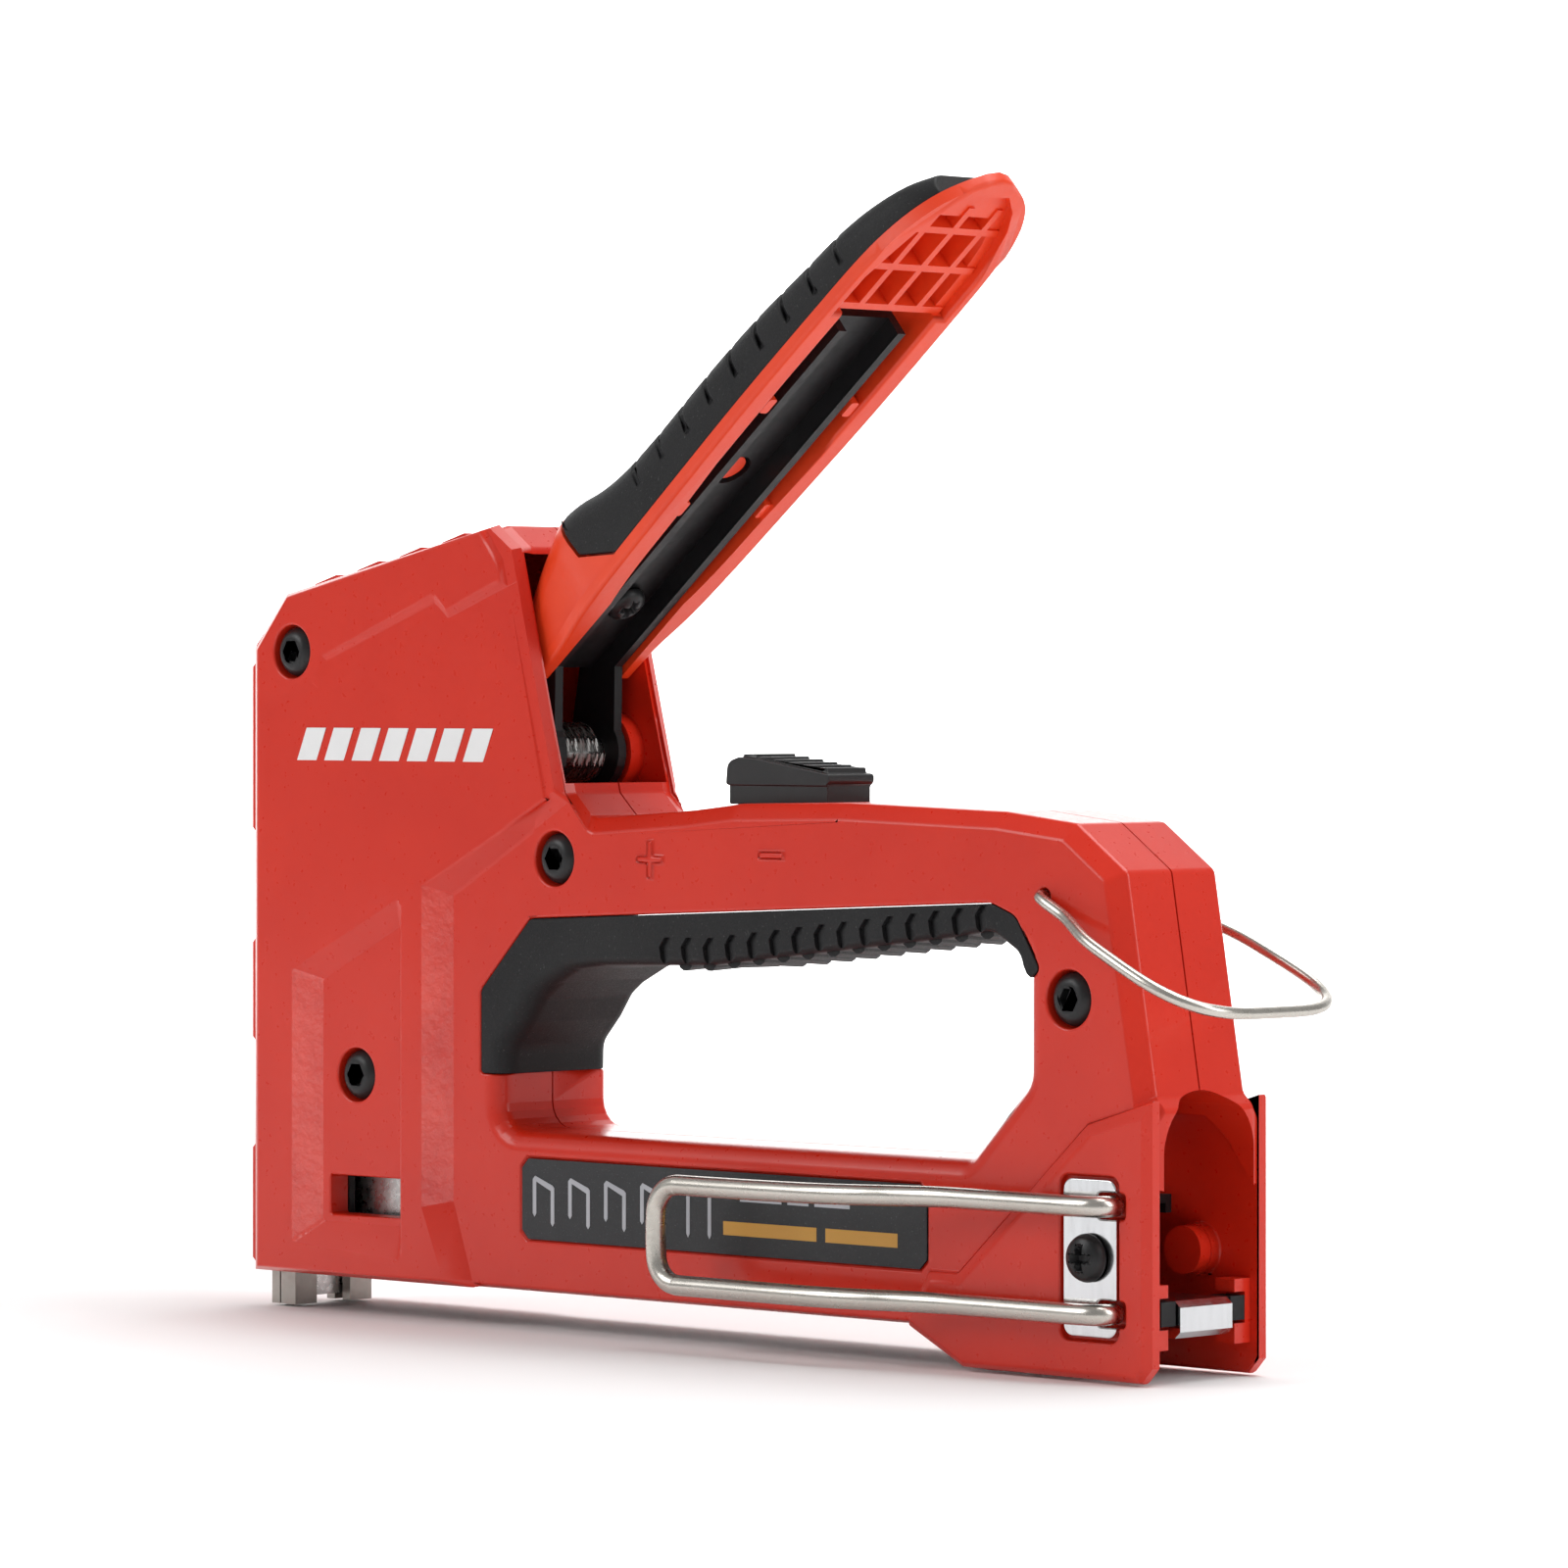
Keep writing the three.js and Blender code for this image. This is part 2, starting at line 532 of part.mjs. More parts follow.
// ---------- striker, moves up as the handle is squeezed ----------
function strikerPlunger() {
  const block = box(noseX + 3.6, strikerX + 8, -8.4, 8.4, plungerBottom, plungerTop);
  const rollerX = pivotX - pickupReach * Math.cos(rad(handleSqueeze / 2));
  const rollerZ = pivotZ - pickupReach * Math.sin(rad(handleSqueeze / 2));
  const hook = sidePlate([
    [strikerX + 4, plungerTop - 8], [strikerX + 8, plungerTop - 8], [rollerX + 3, rollerZ - 5.4], [rollerX + 3, rollerZ - 2.9],
    [rollerX - 4.2, rollerZ - 2.9], [rollerX - 4.2, rollerZ + 2.9], [rollerX + 3, rollerZ + 2.9],
    [rollerX + 3, rollerZ + 5.6], [strikerX + 7.4, rollerZ + 5.6], [strikerX + 7.4, plungerTop - 0.5],
    [strikerX + 4, plungerTop - 0.5],
  ], -4.6, 4.6);
  return join(block, hook);
}

function strikerBlade() {
  const x0 = noseX + nosePlate + 0.5;
  return box(x0, x0 + bladeThickness, -bladeHalfWidth, bladeHalfWidth, 1, plungerTop);
}

// ---------- handle, in its own frame: u along the handle, n away from the rim, pivot at the origin ----------
// u, half-width and height of the outer skin
const handleStations = [
  [23.5, 10.2, 22], [28, 11.4, 22.6], [33, 12.1, 21.6], [38, 12.5, 19.9], [43, 12.7, 18.9], [52, 13, 18.2],
  [66, 13.4, 18], [79, 13.5, 17.5], [91, 13.3, 16.4], [100, 13.1, 15.6], [106.5, 12.3, 14.6], [112, 10.6, 13.4],
  [116, 7.9, 12],
];
const rimOutline = [
  [10, -9.8], [17, -10.2], [24, -11.6], [32, -12.4], [54, -13.3], [72, -13.8], [92, -13.7], [102, -13.4], [107, -12.7],
  [112, -11.1], [116, -8.6], [118.8, -5.4], [120.7, -2.2], [handleLength, 0], [120.7, 2.2], [118.8, 5.4], [116, 8.6],
  [112, 11.1], [107, 12.7], [102, 13.4], [92, 13.7], [72, 13.8], [54, 13.3], [32, 12.4], [24, 11.6], [17, 10.2], [10, 9.8],
];

// arched section at station u, moved inwards by d, standing on level base
function archRing(u, half, top, base, d) {
  const w = half - d;
  const h = top - d;
  const r = Math.min(5.4, (top - rimLevel) * 0.45);
  const section = [
    [-w, base], [w, base], [w, h - r], [w - r * 0.3, h - r * 0.3], [w - r, h], [-w + r, h], [-w + r * 0.3, h - r * 0.3],
    [-w, h - r],
  ];
  return section.map(([y, n]) => Object.assign([u, y, n], { u: y, v: n }));
}

const handleSkin = (base, d, stations) => loft(stations.map(([u, half, top]) => archRing(u, half, top, base, d)));

// the cover runs further into the head than the rubber does, and the skin under the rubber ends early
const coverRoot = [[10, 9.8, 15], [17, 10, 19.4]];
const crownEnd = [114.4, 9, 12.6];
const ribLevel = rimLevel + 1.4;

function handleCover() {
  const rim = slab(rimOutline, rimLevel, rimLevel + rimHeight);
  const crown = handleSkin(rimLevel + 0.4, gripRubber + fitGap, handleStations.slice(0, -1).concat([crownEnd]));
  const cheek = handleSkin(rimLevel + 0.4, 0, coverRoot.concat(handleStations.slice(0, 4)))
    .intersect(sidePlate([[5, 5], [36.4, 5], [36.4, 8.2], [29.7, 13.2], [28, 24], [5, 24]], -20, 20));
  const hollow = handleSkin(rimLevel - 3, gripRubber + fitGap + coverWall, handleStations.slice(0, -1));
  const mouth = box(0, 34, -channelHalfWidth - 0.6, channelHalfWidth + 0.6, rimLevel - 2, 14.6);
  const rib = (u0, u1, y0, y1) => box(u0, u1, y0, y1, ribLevel, 30);
  const lengthRibs = [-6, 0, 6].map((y) => rib(93, 114, y - 0.6, y + 0.6));
  const crossRibs = [92, 100.5, 108.5].map((u) => rib(u, u + 1.3, -14, 14));
  const webTop = channelWebLevel + channelWall;
  const bosses = [rod("z", 3.2, webTop + 0.4, 30, handleScrewAt, 0, 12), rod("z", 2.4, channelWebLevel + 0.5, 30, 53.8, 0, 16)];
  const extras = join(...lengthRibs, ...crossRibs, ...bosses).intersect(crown);
  const base = cut(join(rim, crown, cheek), hollow, mouth);
  return cut(join(base, extras), rod("z", 1.5, 8, 19, handleScrewAt, 0, 10));
}

function handleGrip() {
  const outer = handleSkin(rimLevel + rimHeight + 0.3, 0, handleStations);
  const inner = handleSkin(rimLevel - 2, gripRubber, handleStations.slice(0, -1).concat([crownEnd]));
  const front = sidePlate([[5, 5], [36.8, 5], [36.8, 8.4], [30.1, 13.4], [28.4, 25], [5, 25]], -20, 20);
  return cut(outer, inner, front);
}

// where the roller sits in the handle's frame when the handle is open
function rollerPlace() {
  const a = rad(handleOpenAngle);
  const dip = rad(handleSqueeze / 2);
  const x = -pickupReach * Math.cos(dip);
  const z = -pickupReach * Math.sin(dip);
  return [x * Math.cos(a) + z * Math.sin(a), -x * Math.sin(a) + z * Math.cos(a)];
}

function leverChannel() {
  const [ru, rn] = rollerPlace();
  const length = Math.hypot(ru, rn);
  const [du, dn] = [-rn / length, ru / length];
  const arm = [[du * 4.6, dn * 4.6], [-du * 4.6, -dn * 4.6], [ru - du * 3.4, rn - dn * 3.4], [ru + du * 3.4, rn + dn * 3.4]];
  const flange = [
    [-3.4, 3.6], [2.4, -4.4], [12, rimLevel + 0.7], [channelEnd, rimLevel + 0.7],
    [channelEnd, channelWebLevel + channelWall],
    [6, channelWebLevel + channelWall],
  ];
  const cheeks = [-1, 1].map((s) => {
    const [y0, y1] = [s * (channelHalfWidth - channelWall), s * channelHalfWidth].sort((a, b) => a - b);
    const plate = join(sidePlate(arm, y0, y1), sidePlate(flange, y0, y1), rod("y", 5.8, y0, y1, 0, 0, 24),
      rod("y", 3.4, y0, y1, ru, rn, 16));
    return cut(plate, rod("y", rollerRadius + 0.05, -9, 9, ru, rn, 16));
  });
  const web = box(8, channelEnd, -channelHalfWidth + 1, channelHalfWidth - 1, channelWebLevel, channelWebLevel + channelWall);
  return cut(join(...cheeks, web), rod("y", pivotPinRadius + 0.05, -9, 9, 0, 0),
    rod("z", 1.8, 8, 14, handleScrewAt, 0, 12), rod("z", 3, 8, 14, 53.8, 0, 16));
}

function leverRoller() {
  const [ru, rn] = rollerPlace();
  return rod("y", rollerRadius, -channelHalfWidth, channelHalfWidth, ru, rn, 16);
}

function handleScrew() {
  const head = rod("z", 3.2, channelWebLevel - 2.3, channelWebLevel - 0.3, handleScrewAt, 0);
  const shank = rod("z", 1.4, channelWebLevel - 1, 18.4, handleScrewAt, 0, 10);
  const drive = join(
    box(handleScrewAt - 1.7, handleScrewAt + 1.7, -0.4, 0.4, 7, channelWebLevel - 1.3),
    box(handleScrewAt - 0.4, handleScrewAt + 0.4, -1.7, 1.7, 7, channelWebLevel - 1.3));
  return cut(join(head, shank), drive);
}

// ---------- power slider ----------
function powerKnob() {
  const [footLength, footHalf] = knobFoot;
  const foot = box(knobX - footLength, knobX + footLength, -footHalf, footHalf, 72.3, gripTop + 1);
  const [x0, x1] = [knobX - knobHalfLength, knobX + knobHalfLength];
  const profile = [
    [x0 + 0.5, gripTop + 0.6], [x1 - 0.7, gripTop + 0.6], [x1 - 0.7, gripTop + 2.4], [x1, gripTop + 3],
    [x1, gripTop + 4], [x0 + 6, gripTop + 6.6], [x0 + 3, gripTop + 6.6], [x0 + 0.8, gripTop + 5.2],
    [x0, gripTop + 2.2],
  ];
  const grooves = Array.from({ length: 5 }, (_, i) => {
    const x = x0 + 7 + i * 2.8;
    const z = gripTop + 6.6 - (x - x0 - 6) * 0.175;
    return box(x, x + 0.7, -knobHalfWidth + 0.5, knobHalfWidth - 0.5, z - 0.7, z + 2);
  });
  return cut(join(foot, sidePlate(profile, -knobHalfWidth, knobHalfWidth)), ...grooves);
}

function powerLink() {
  return box(knobX - 5, knobX + 41, -4.2, 4.2, 70.6, 71.8);
}

// ---------- magazine ----------
function coreRail() {
  const x0 = noseX + 8.6;
  const x1 = bodyLength - 27;
  const outer = bar(rect(-railHalfWidth, railHalfWidth, 9.2, railTop), x0, x1);
  const inside = bar(rect(-railHalfWidth + 1, railHalfWidth - 1, 0, railTop - 1), x0 + 1.2, x1 - 1.5);
  const slot = box(x0 + 2.5, x1 - 8, -1.2, 1.2, railTop - 3, railTop + 3);
  const tail = box(x1 - 2, bodyLength - 12.4, -railHalfWidth, railHalfWidth, 9.2, 10.6);
  return cut(join(cut(outer, inside, slot), tail), rod("x", rodRadius + 0.1, x1 - 3, x1 + 2, 0, rodLevel, 12));
}

function magazineLatch() {
  const section = [
    [bodyLength - 12, 6.6], [bodyLength - 10, 5.9], [bodyLength - 1.6, 5.9], [bodyLength - 0.6, 6.8], [bodyLength - 0.6, 10.2],
    [bodyLength - 1.6, 11.1], [bodyLength - 12, 11.1],
  ];
  return cut(sidePlate(section, -5.5, 5.5), box(bodyLength - 20, bodyLength - 3.2, -4.4, 4.4, 7.3, 9.7));
}

function latchPlate() {
  const y = 8.8;
  const tongue = box(bodyLength - 11.6, bodyLength - 4, -4.1, 4.1, 7.6, 8.9);
  const ears = [-1, 1].map((s) => box(bodyLength - 5.2, bodyLength - 1.2, Math.min(s * 5.8, s * y), Math.max(s * 5.8, s * y), 7.7, 11.1));
  const yoke = box(bodyLength - 16, bodyLength - 12.3, -y, y, 7.6, 8.9);
  const arms = [-1, 1].map((s) => box(bodyLength - 13, bodyLength - 2, Math.min(s * 5.8, s * 6.8), Math.max(s * 5.8, s * 6.8), 7.6, 9.4));
  return join(yoke, ...arms, ...ears, box(bodyLength - 13, bodyLength - 11, -4.1, 4.1, 7.6, 8.9), tongue);
}

function guideRod() {
  return rod("x", rodRadius, noseX + 10.2, bodyLength - 26, 0, rodLevel, 10);
}

const pusherFront = noseX + 11.6;

function pusher() {
  const saddle = cut(
    bar(rect(-railHalfWidth - 0.8, railHalfWidth + 0.8, 10.6, railTop + 1.5), pusherFront, pusherFront + 18),
    bar(rect(-railHalfWidth - 0.3, railHalfWidth + 0.3, 0, railTop + 0.3), pusherFront - 1, pusherFront + 19));
  const tab = box(pusherFront + 1, pusherFront + 6, -0.8, 0.8, rodLevel, railTop + 0.8);
  const ring = rod("x", 2.8, pusherFront + 1, pusherFront + 6, 0, rodLevel, 14);
  return cut(join(saddle, tab, ring), rod("x", rodRadius + 0.2, pusherFront - 2, pusherFront + 20, 0, rodLevel, 10));
}

function pusherSpring() {
  return coil(2.1, 0.7, 18, pusherFront + 6.6, bodyLength - 29.2, (a, b, t) => [t, a, rodLevel + b], 5, 8);
}

// ---------- wire bail, in its own frame: r outwards from its pivots ----------
function lockBail() {
  const w = bailHalfWidth;
  const half = [
    [0, 10.2], [0, 12.2], [1.6, 12.9], [6, 13.4], [13, w - 0.6], [17, w], [bailReach - 8, w], [bailReach - 3, w - 2.4],
    [bailReach - 0.6, w - 7],
  ];
  const near = half.map(([r, y]) => [r, -y, 0]);
  const far = half.map(([r, y]) => [r, y, 0]).reverse();
  return wireAlong([...near, [bailReach, 0, 0], ...far], bailWire, 84, 7);
}

// ---------- assembly ----------
const root = new THREE.Group();

function add(parent, name, part, finish) {
  const material = new THREE.MeshStandardMaterial(finish);
  const mesh = new THREE.Mesh(geometryOf(part), material);
  mesh.name = name;
  parent.add(mesh);
}

add(root, "left_shell", shell(-1), red);
add(root, "right_shell", shell(1), red);
add(root, "grip_insert", gripInsert(), rubber);
for (const s of screwPlaces) {
  add(root, `housing_screw_${s.name}`, housingScrew(s), blackSteel);
  add(root, `housing_nut_${s.name}`, housingNut(s), blackSteel);
}
add(root, "left_label", label(-1), sticker);
add(root, "right_label", label(1), sticker);
add(root, "nose_front_plate", noseFrontPlate(), steel);
add(root, "nose_guide_block", noseGuideBlock(), steel);
add(root, "magazine_channel", magazineChannel(), blackSteel);
add(root, "lever_pivot_pin", rod("y", pivotPinRadius, -9.2, 9.2, pivotX, pivotZ), steel);
add(root, "lever_return_spring", leverReturnSpring(), steel);
add(root, "main_spring", mainSpring(), steel);
add(root, "spring_seat", springSeat(), steel);
add(root, "bumper", bumper(), rubber);
add(root, "detent_spring", detentSpring(), steel);
add(root, "clip_plate", clipPlate(), chrome);
add(root, "belt_clip", beltClip(), steel);
add(root, "clip_screw", clipScrew(), blackSteel);

add(root, "striker_plunger", strikerPlunger(), steel);
add(root, "striker_blade", strikerBlade(), steel);

const handle = new THREE.Group();
handle.position.set(pivotX, 0, pivotZ);
handle.rotation.y = -rad(handleOpenAngle);
root.add(handle);
add(handle, "handle_cover", handleCover(), redPlastic);
add(handle, "handle_grip", handleGrip(), rubber);
add(handle, "lever_channel", leverChannel(), blackSteel);
add(handle, "lever_roller", leverRoller(), steel);
add(handle, "handle_screw", handleScrew(), blackSteel);

add(root, "power_knob", powerKnob(), blackPlastic);
add(root, "power_link", powerLink(), steel);

add(root, "core_rail", coreRail(), blackSteel);
add(root, "magazine_latch", magazineLatch(), chrome);
add(root, "latch_plate", latchPlate(), blackSteel);
add(root, "guide_rod", guideRod(), steel);
add(root, "pusher_spring", pusherSpring(), steel);
add(root, "pusher", pusher(), steel);

const bail = new THREE.Group();
bail.position.set(bailX, 0, bailZ);
bail.rotation.y = rad(bailRest);
root.add(bail);
add(bail, "lock_bail", lockBail(), steel);

// origin under the middle of the whole object, on the surface it stands on
root.updateMatrixWorld(true);
const bounds = new THREE.Box3().setFromObject(root, true);
const middle = bounds.getCenter(new THREE.Vector3());
root.position.set(-middle.x, -middle.y, -bounds.min.z);
root.updateMatrixWorld(true);

export default root;
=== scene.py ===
import math

import bmesh
import bpy
from mathutils import Matrix, Vector


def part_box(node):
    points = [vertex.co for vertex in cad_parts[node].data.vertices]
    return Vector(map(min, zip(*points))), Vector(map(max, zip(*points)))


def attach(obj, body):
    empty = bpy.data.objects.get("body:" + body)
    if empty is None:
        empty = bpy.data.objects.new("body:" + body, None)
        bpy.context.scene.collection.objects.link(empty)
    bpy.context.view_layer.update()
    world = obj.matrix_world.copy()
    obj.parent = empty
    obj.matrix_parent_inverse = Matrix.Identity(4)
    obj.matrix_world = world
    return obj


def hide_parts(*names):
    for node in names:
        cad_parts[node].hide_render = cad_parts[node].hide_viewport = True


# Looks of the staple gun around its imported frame. Lengths are millimetres in the design frame:
# X from the nose to the heel, Y = 0 on the parting plane (left side negative), Z up from the ground.
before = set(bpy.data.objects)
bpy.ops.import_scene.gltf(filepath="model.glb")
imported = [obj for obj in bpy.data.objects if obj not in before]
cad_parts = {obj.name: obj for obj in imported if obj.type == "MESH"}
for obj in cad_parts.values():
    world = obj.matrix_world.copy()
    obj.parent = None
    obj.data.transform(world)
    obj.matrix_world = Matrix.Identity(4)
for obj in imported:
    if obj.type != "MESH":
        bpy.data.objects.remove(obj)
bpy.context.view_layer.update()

# ---------- frames ----------
MM = 0.001
PAD_STAND = 1.0            # the pads stand this far in front of the nose face, which is X = 0
HANDLE_SLOPE = math.radians(39.35)
PIVOT = Vector((60, 0, 86))
BAIL_DIP = math.radians(25.5)
BAIL_PIVOT = Vector((167.4, 0, 66.7))

shell_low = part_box("left_shell")[0]
pin_low, pin_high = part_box("lever_pivot_pin")
ORIGIN = Vector((shell_low.x + PAD_STAND * MM, (pin_low.y + pin_high.y) / 2, shell_low.z))
PLACE = Matrix.Translation(ORIGIN) @ Matrix.Scale(MM, 4)
HANDLE = Matrix.Translation(PIVOT) @ Matrix.Rotation(-HANDLE_SLOPE, 4, "Y")
BAIL = Matrix.Translation(BAIL_PIVOT) @ Matrix.Rotation(BAIL_DIP, 4, "Y")
MIRROR = Matrix.Scale(-1, 4, (0, 1, 0))
Y_TO_Z = Matrix(((1, 0, 0, 0), (0, 0, 1, 0), (0, -1, 0, 0), (0, 0, 0, 1)))

# ---------- driving dimensions ----------
GRIP_HALF = 11.5
HEAD_HALF = 13.5
HEAD_REAR_HALF = 12.8
HEEL_HALF = 13.0
CHAMFER_START = 9.2        # half-width at which the side chamfers begin
PARTING = 0.15             # half the gap between the shells
SCREW_HEAD = 3.8
SCREW_CLEAR = 0.3
SHANK_HOLE = 2.05
SOCKET_RADIUS = 1.75       # hexagonal socket, across corners
NUT_RADIUS = 4.0
NUT_FACE = 6.4
DEEP_CHAMFER = 2.4         # in plan, on the nose and along the rear
LIGHT_CHAMFER = 0.6
CLIP_WIRE = 1.5            # radii of the two bent wires
BAIL_WIRE = 0.85
RIM = 6.2                  # rim plane of the handle, from its pivot
RIM_HEIGHT = 1.9
RUBBER = 1.8
COVER_WALL = 1.6
CORNER_STEPS = 5
SHELL_ROUNDING = 0.4
BROAD_FACE = 1.0           # a face at least this wide along an edge is not part of a fillet


# ---------- outlines ----------
def inset(points, distances):
    """An anticlockwise outline moved inwards, edge by edge."""
    count = len(points)
    lines = []
    for i in range(count):
        d = distances[i] if isinstance(distances, (list, tuple)) else distances
        x0, z0 = points[i]
        x1, z1 = points[(i + 1) % count]
        length = math.hypot(x1 - x0, z1 - z0)
        lines.append((x0 - (z1 - z0) / length * d, z0 + (x1 - x0) / length * d, x1 - x0, z1 - z0))
    result = []
    for i in range(count):
        px, pz, pdx, pdz = lines[i - 1]
        qx, qz, qdx, qdz = lines[i]
        t = ((qx - px) * qdz - (qz - pz) * qdx) / (pdx * qdz - pdz * qdx)
        result.append((px + pdx * t, pz + pdz * t))
    return result


def rounded(points, radii, steps=CORNER_STEPS):
    """The corners of a closed outline turned into arcs; radii is one value or one per corner."""
    count = len(points)
    result = []
    for i in range(count):
        radius = radii[i] if isinstance(radii, (list, tuple)) else radii
        corner = Vector(points[i])
        back = Vector(points[i - 1]) - corner
        ahead = Vector(points[(i + 1) % count]) - corner
        half = back.angle(ahead) / 2
        reach = min(radius / math.tan(half), 0.45 * back.length, 0.45 * ahead.length)
        start = corner + back.normalized() * reach
        end = corner + ahead.normalized() * reach
        centre = corner + (back.normalized() + ahead.normalized()).normalized() * (reach / math.cos(half))
        spoke_a = start - centre
        spoke_b = end - centre
        turn = spoke_a.angle(spoke_b)
        for k in range(steps + 1):
            f = k / steps
            spoke = (spoke_a * math.sin((1 - f) * turn) + spoke_b * math.sin(f * turn)) / math.sin(turn)
            result.append(tuple(centre + spoke))
    return result


def grown(points, radii, amount, steps=CORNER_STEPS):
    """A rounded outline moved outwards; convex corners get rounder and concave ones tighter."""
    sharp = inset(points, -amount)
    result = []
    for i in range(len(points)):
        radius = radii[i] if isinstance(radii, (list, tuple)) else radii
        before = Vector(points[i]) - Vector(points[i - 1])
        after = Vector(points[(i + 1) % len(points)]) - Vector(points[i])
        convex = before.x * after.y - before.y * after.x > 0
        result.append(radius + amount if convex else max(radius - amount, 0.4))
    return rounded(sharp, result, steps)


def rect(a0, a1, b0, b1):
    return [(a0, b0), (a1, b0), (a1, b1), (a0, b1)]


def circle(cx, cz, radius, count, start=0.0):
    return [(cx + radius * math.cos(start + math.tau * i / count),
             cz + radius * math.sin(start + math.tau * i / count)) for i in range(count)]


# ---------- meshes, in millimetres ----------
def mesh_of(verts, faces):
    mesh = bpy.data.meshes.new("work")
    mesh.from_pydata([tuple(v) for v in verts], [], faces)
    bm = bmesh.new()
    bm.from_mesh(mesh)
    bmesh.ops.recalc_face_normals(bm, faces=bm.faces)
    bm.to_mesh(mesh)
    bm.free()
    return mesh


def loft(rings, closed=False):
    """Solid skinned over rings with the same number of points."""
    count = len(rings[0])
    verts = [p for ring in rings for p in ring]
    faces = []
    spans = len(rings) if closed else len(rings) - 1
    for i in range(spans):
        a = i * count
        b = ((i + 1) % len(rings)) * count
        for k in range(count):
            j = (k + 1) % count
            faces.append((a + k, a + j, b + j, b + k))
    if not closed:
        faces.append(tuple(range(count)))
        faces.append(tuple(range(len(verts) - count, len(verts))))
    return mesh_of(verts, faces)


def side_ring(points, y):
    return [(x, y, z) for x, z in points]


def plate(points, y0, y1):
    """X-Z outline between two Y values."""
    return loft([side_ring(points, y0), side_ring(points, y1)])


def slab(points, z0, z1):
    """X-Y outline between two Z values."""
    return loft([[(x, y, z0) for x, y in points], [(x, y, z1) for x, y in points]])


def bar(points, x0, x1):
    """Y-Z section between two X values."""
    return loft([[(x0, y, z) for y, z in points], [(x1, y, z) for y, z in points]])


def block(x0, x1, y0, y1, z0, z1, radius=0.0):
    outline = rect(x0, x1, z0, z1)
    return plate(rounded(outline, radius) if radius else outline, y0, y1)


def lathe(profile, axis, at, count=40):
    """Solid of revolution; the profile's points are (along the axis, radius), from one end to the other."""
    a, b = at
    rings = []
    for along, radius in profile:
        ring = []
        for i in range(count):
            c = radius * math.cos(math.tau * i / count)
            s = radius * math.sin(math.tau * i / count)
            ring.append({"x": (along, a + c, b + s), "y": (a + c, along, b + s),
                         "z": (a + c, b + s, along)}[axis])
        rings.append(ring)
    return loft(rings)


def rounded_profile(points, radius, steps=4):
    """A lathe profile whose inner corners are arcs."""
    result = [points[0]]
    for i in range(1, len(points) - 1):
        corner = Vector(points[i])
        back = Vector(points[i - 1]) - corner
        ahead = Vector(points[i + 1]) - corner
        reach = min(radius, 0.45 * back.length, 0.45 * ahead.length)
        start = corner + back.normalized() * reach
        end = corner + ahead.normalized() * reach
        for k in range(steps + 1):
            f = k / steps
            result.append(tuple(start * (1 - f) ** 2 + corner * 2 * f * (1 - f) + end * f ** 2))
    result.append(points[-1])
    return result


def combine(base, *steps):
    """base joined with or cut by other meshes, in order; each step is an operation and a mesh."""
    body = bpy.data.objects.new("work", base)
    bpy.context.scene.collection.objects.link(body)
    tools = []
    for operation, mesh in steps:
        tool = bpy.data.objects.new("work_tool", mesh)
        bpy.context.scene.collection.objects.link(tool)
        tools.append(tool)
        modifier = body.modifiers.new("", "BOOLEAN")
        modifier.operation = operation
        modifier.solver = "MANIFOLD"
        modifier.object = tool
    depsgraph = bpy.context.evaluated_depsgraph_get()
    result = bpy.data.meshes.new_from_object(body.evaluated_get(depsgraph))
    for item in [body] + tools:
        data = item.data
        bpy.data.objects.remove(item)
        bpy.data.meshes.remove(data)
    return result


def joined(base, *others):
    return combine(base, *[("UNION", mesh) for mesh in others])


def cut(base, *tools):
    return combine(base, *[("DIFFERENCE", mesh) for mesh in tools])


def moved(mesh, matrix):
    mesh.transform(matrix)
    if matrix.determinant() < 0:
        mesh.flip_normals()
    return mesh


def smooth_path(points, per_span=8):
    """Points of a centripetal Catmull-Rom curve through the given ones."""
    pts = [Vector(p) for p in points]
    pts = [pts[0] * 2 - pts[1]] + pts + [pts[-1] * 2 - pts[-2]]
    result = []
    for i in range(1, len(pts) - 2):
        p0, p1, p2, p3 = pts[i - 1:i + 3]
        t1 = (p1 - p0).length ** 0.5
        t2 = t1 + (p2 - p1).length ** 0.5
        t3 = t2 + (p3 - p2).length ** 0.5
        for k in range(per_span):
            t = t1 + (t2 - t1) * k / per_span
            a1 = p0 * ((t1 - t) / t1) + p1 * (t / t1)
            a2 = p1 * ((t2 - t) / (t2 - t1)) + p2 * ((t - t1) / (t2 - t1))
            a3 = p2 * ((t3 - t) / (t3 - t2)) + p3 * ((t - t2) / (t3 - t2))
            b1 = a1 * ((t2 - t) / t2) + a2 * (t / t2)
            b2 = a2 * ((t3 - t) / (t3 - t1)) + a3 * ((t - t1) / (t3 - t1))
            result.append(b1 * ((t2 - t) / (t2 - t1)) + b2 * ((t - t1) / (t2 - t1)))
    result.append(pts[-2])
    return result


def wire(points, radius, count=16):
    """Round wire along a path, with slightly rounded ends."""
    path = [Vector(p) for p in points]
    tangents = []
    for i in range(len(path)):
        tangents.append((path[min(i + 1, len(path) - 1)] - path[max(i - 1, 0)]).normalized())
    normal = tangents[0].orthogonal().normalized()
    rings = []
    last = len(path) - 1
    for i, (point, tangent) in enumerate(zip(path, tangents)):
        normal = (normal - tangent * normal.dot(tangent)).normalized()
        side = tangent.cross(normal)
        scales = [(0.0, 1.0)]
        if i == 0:
            scales = [(0.0, 0.72), (0.15 * radius, 0.92), (0.35 * radius, 1.0)]
        if i == last:
            scales = [(-0.35 * radius, 1.0), (-0.15 * radius, 0.92), (0.0, 0.72)]
        for shift, scale in scales:
            centre = point + tangent * shift
            ring = []
            for k in range(count):
                a = math.tau * k / count
                ring.append(centre + (normal * math.cos(a) + side * math.sin(a)) * radius * scale)
            rings.append(ring)
    return loft(rings)


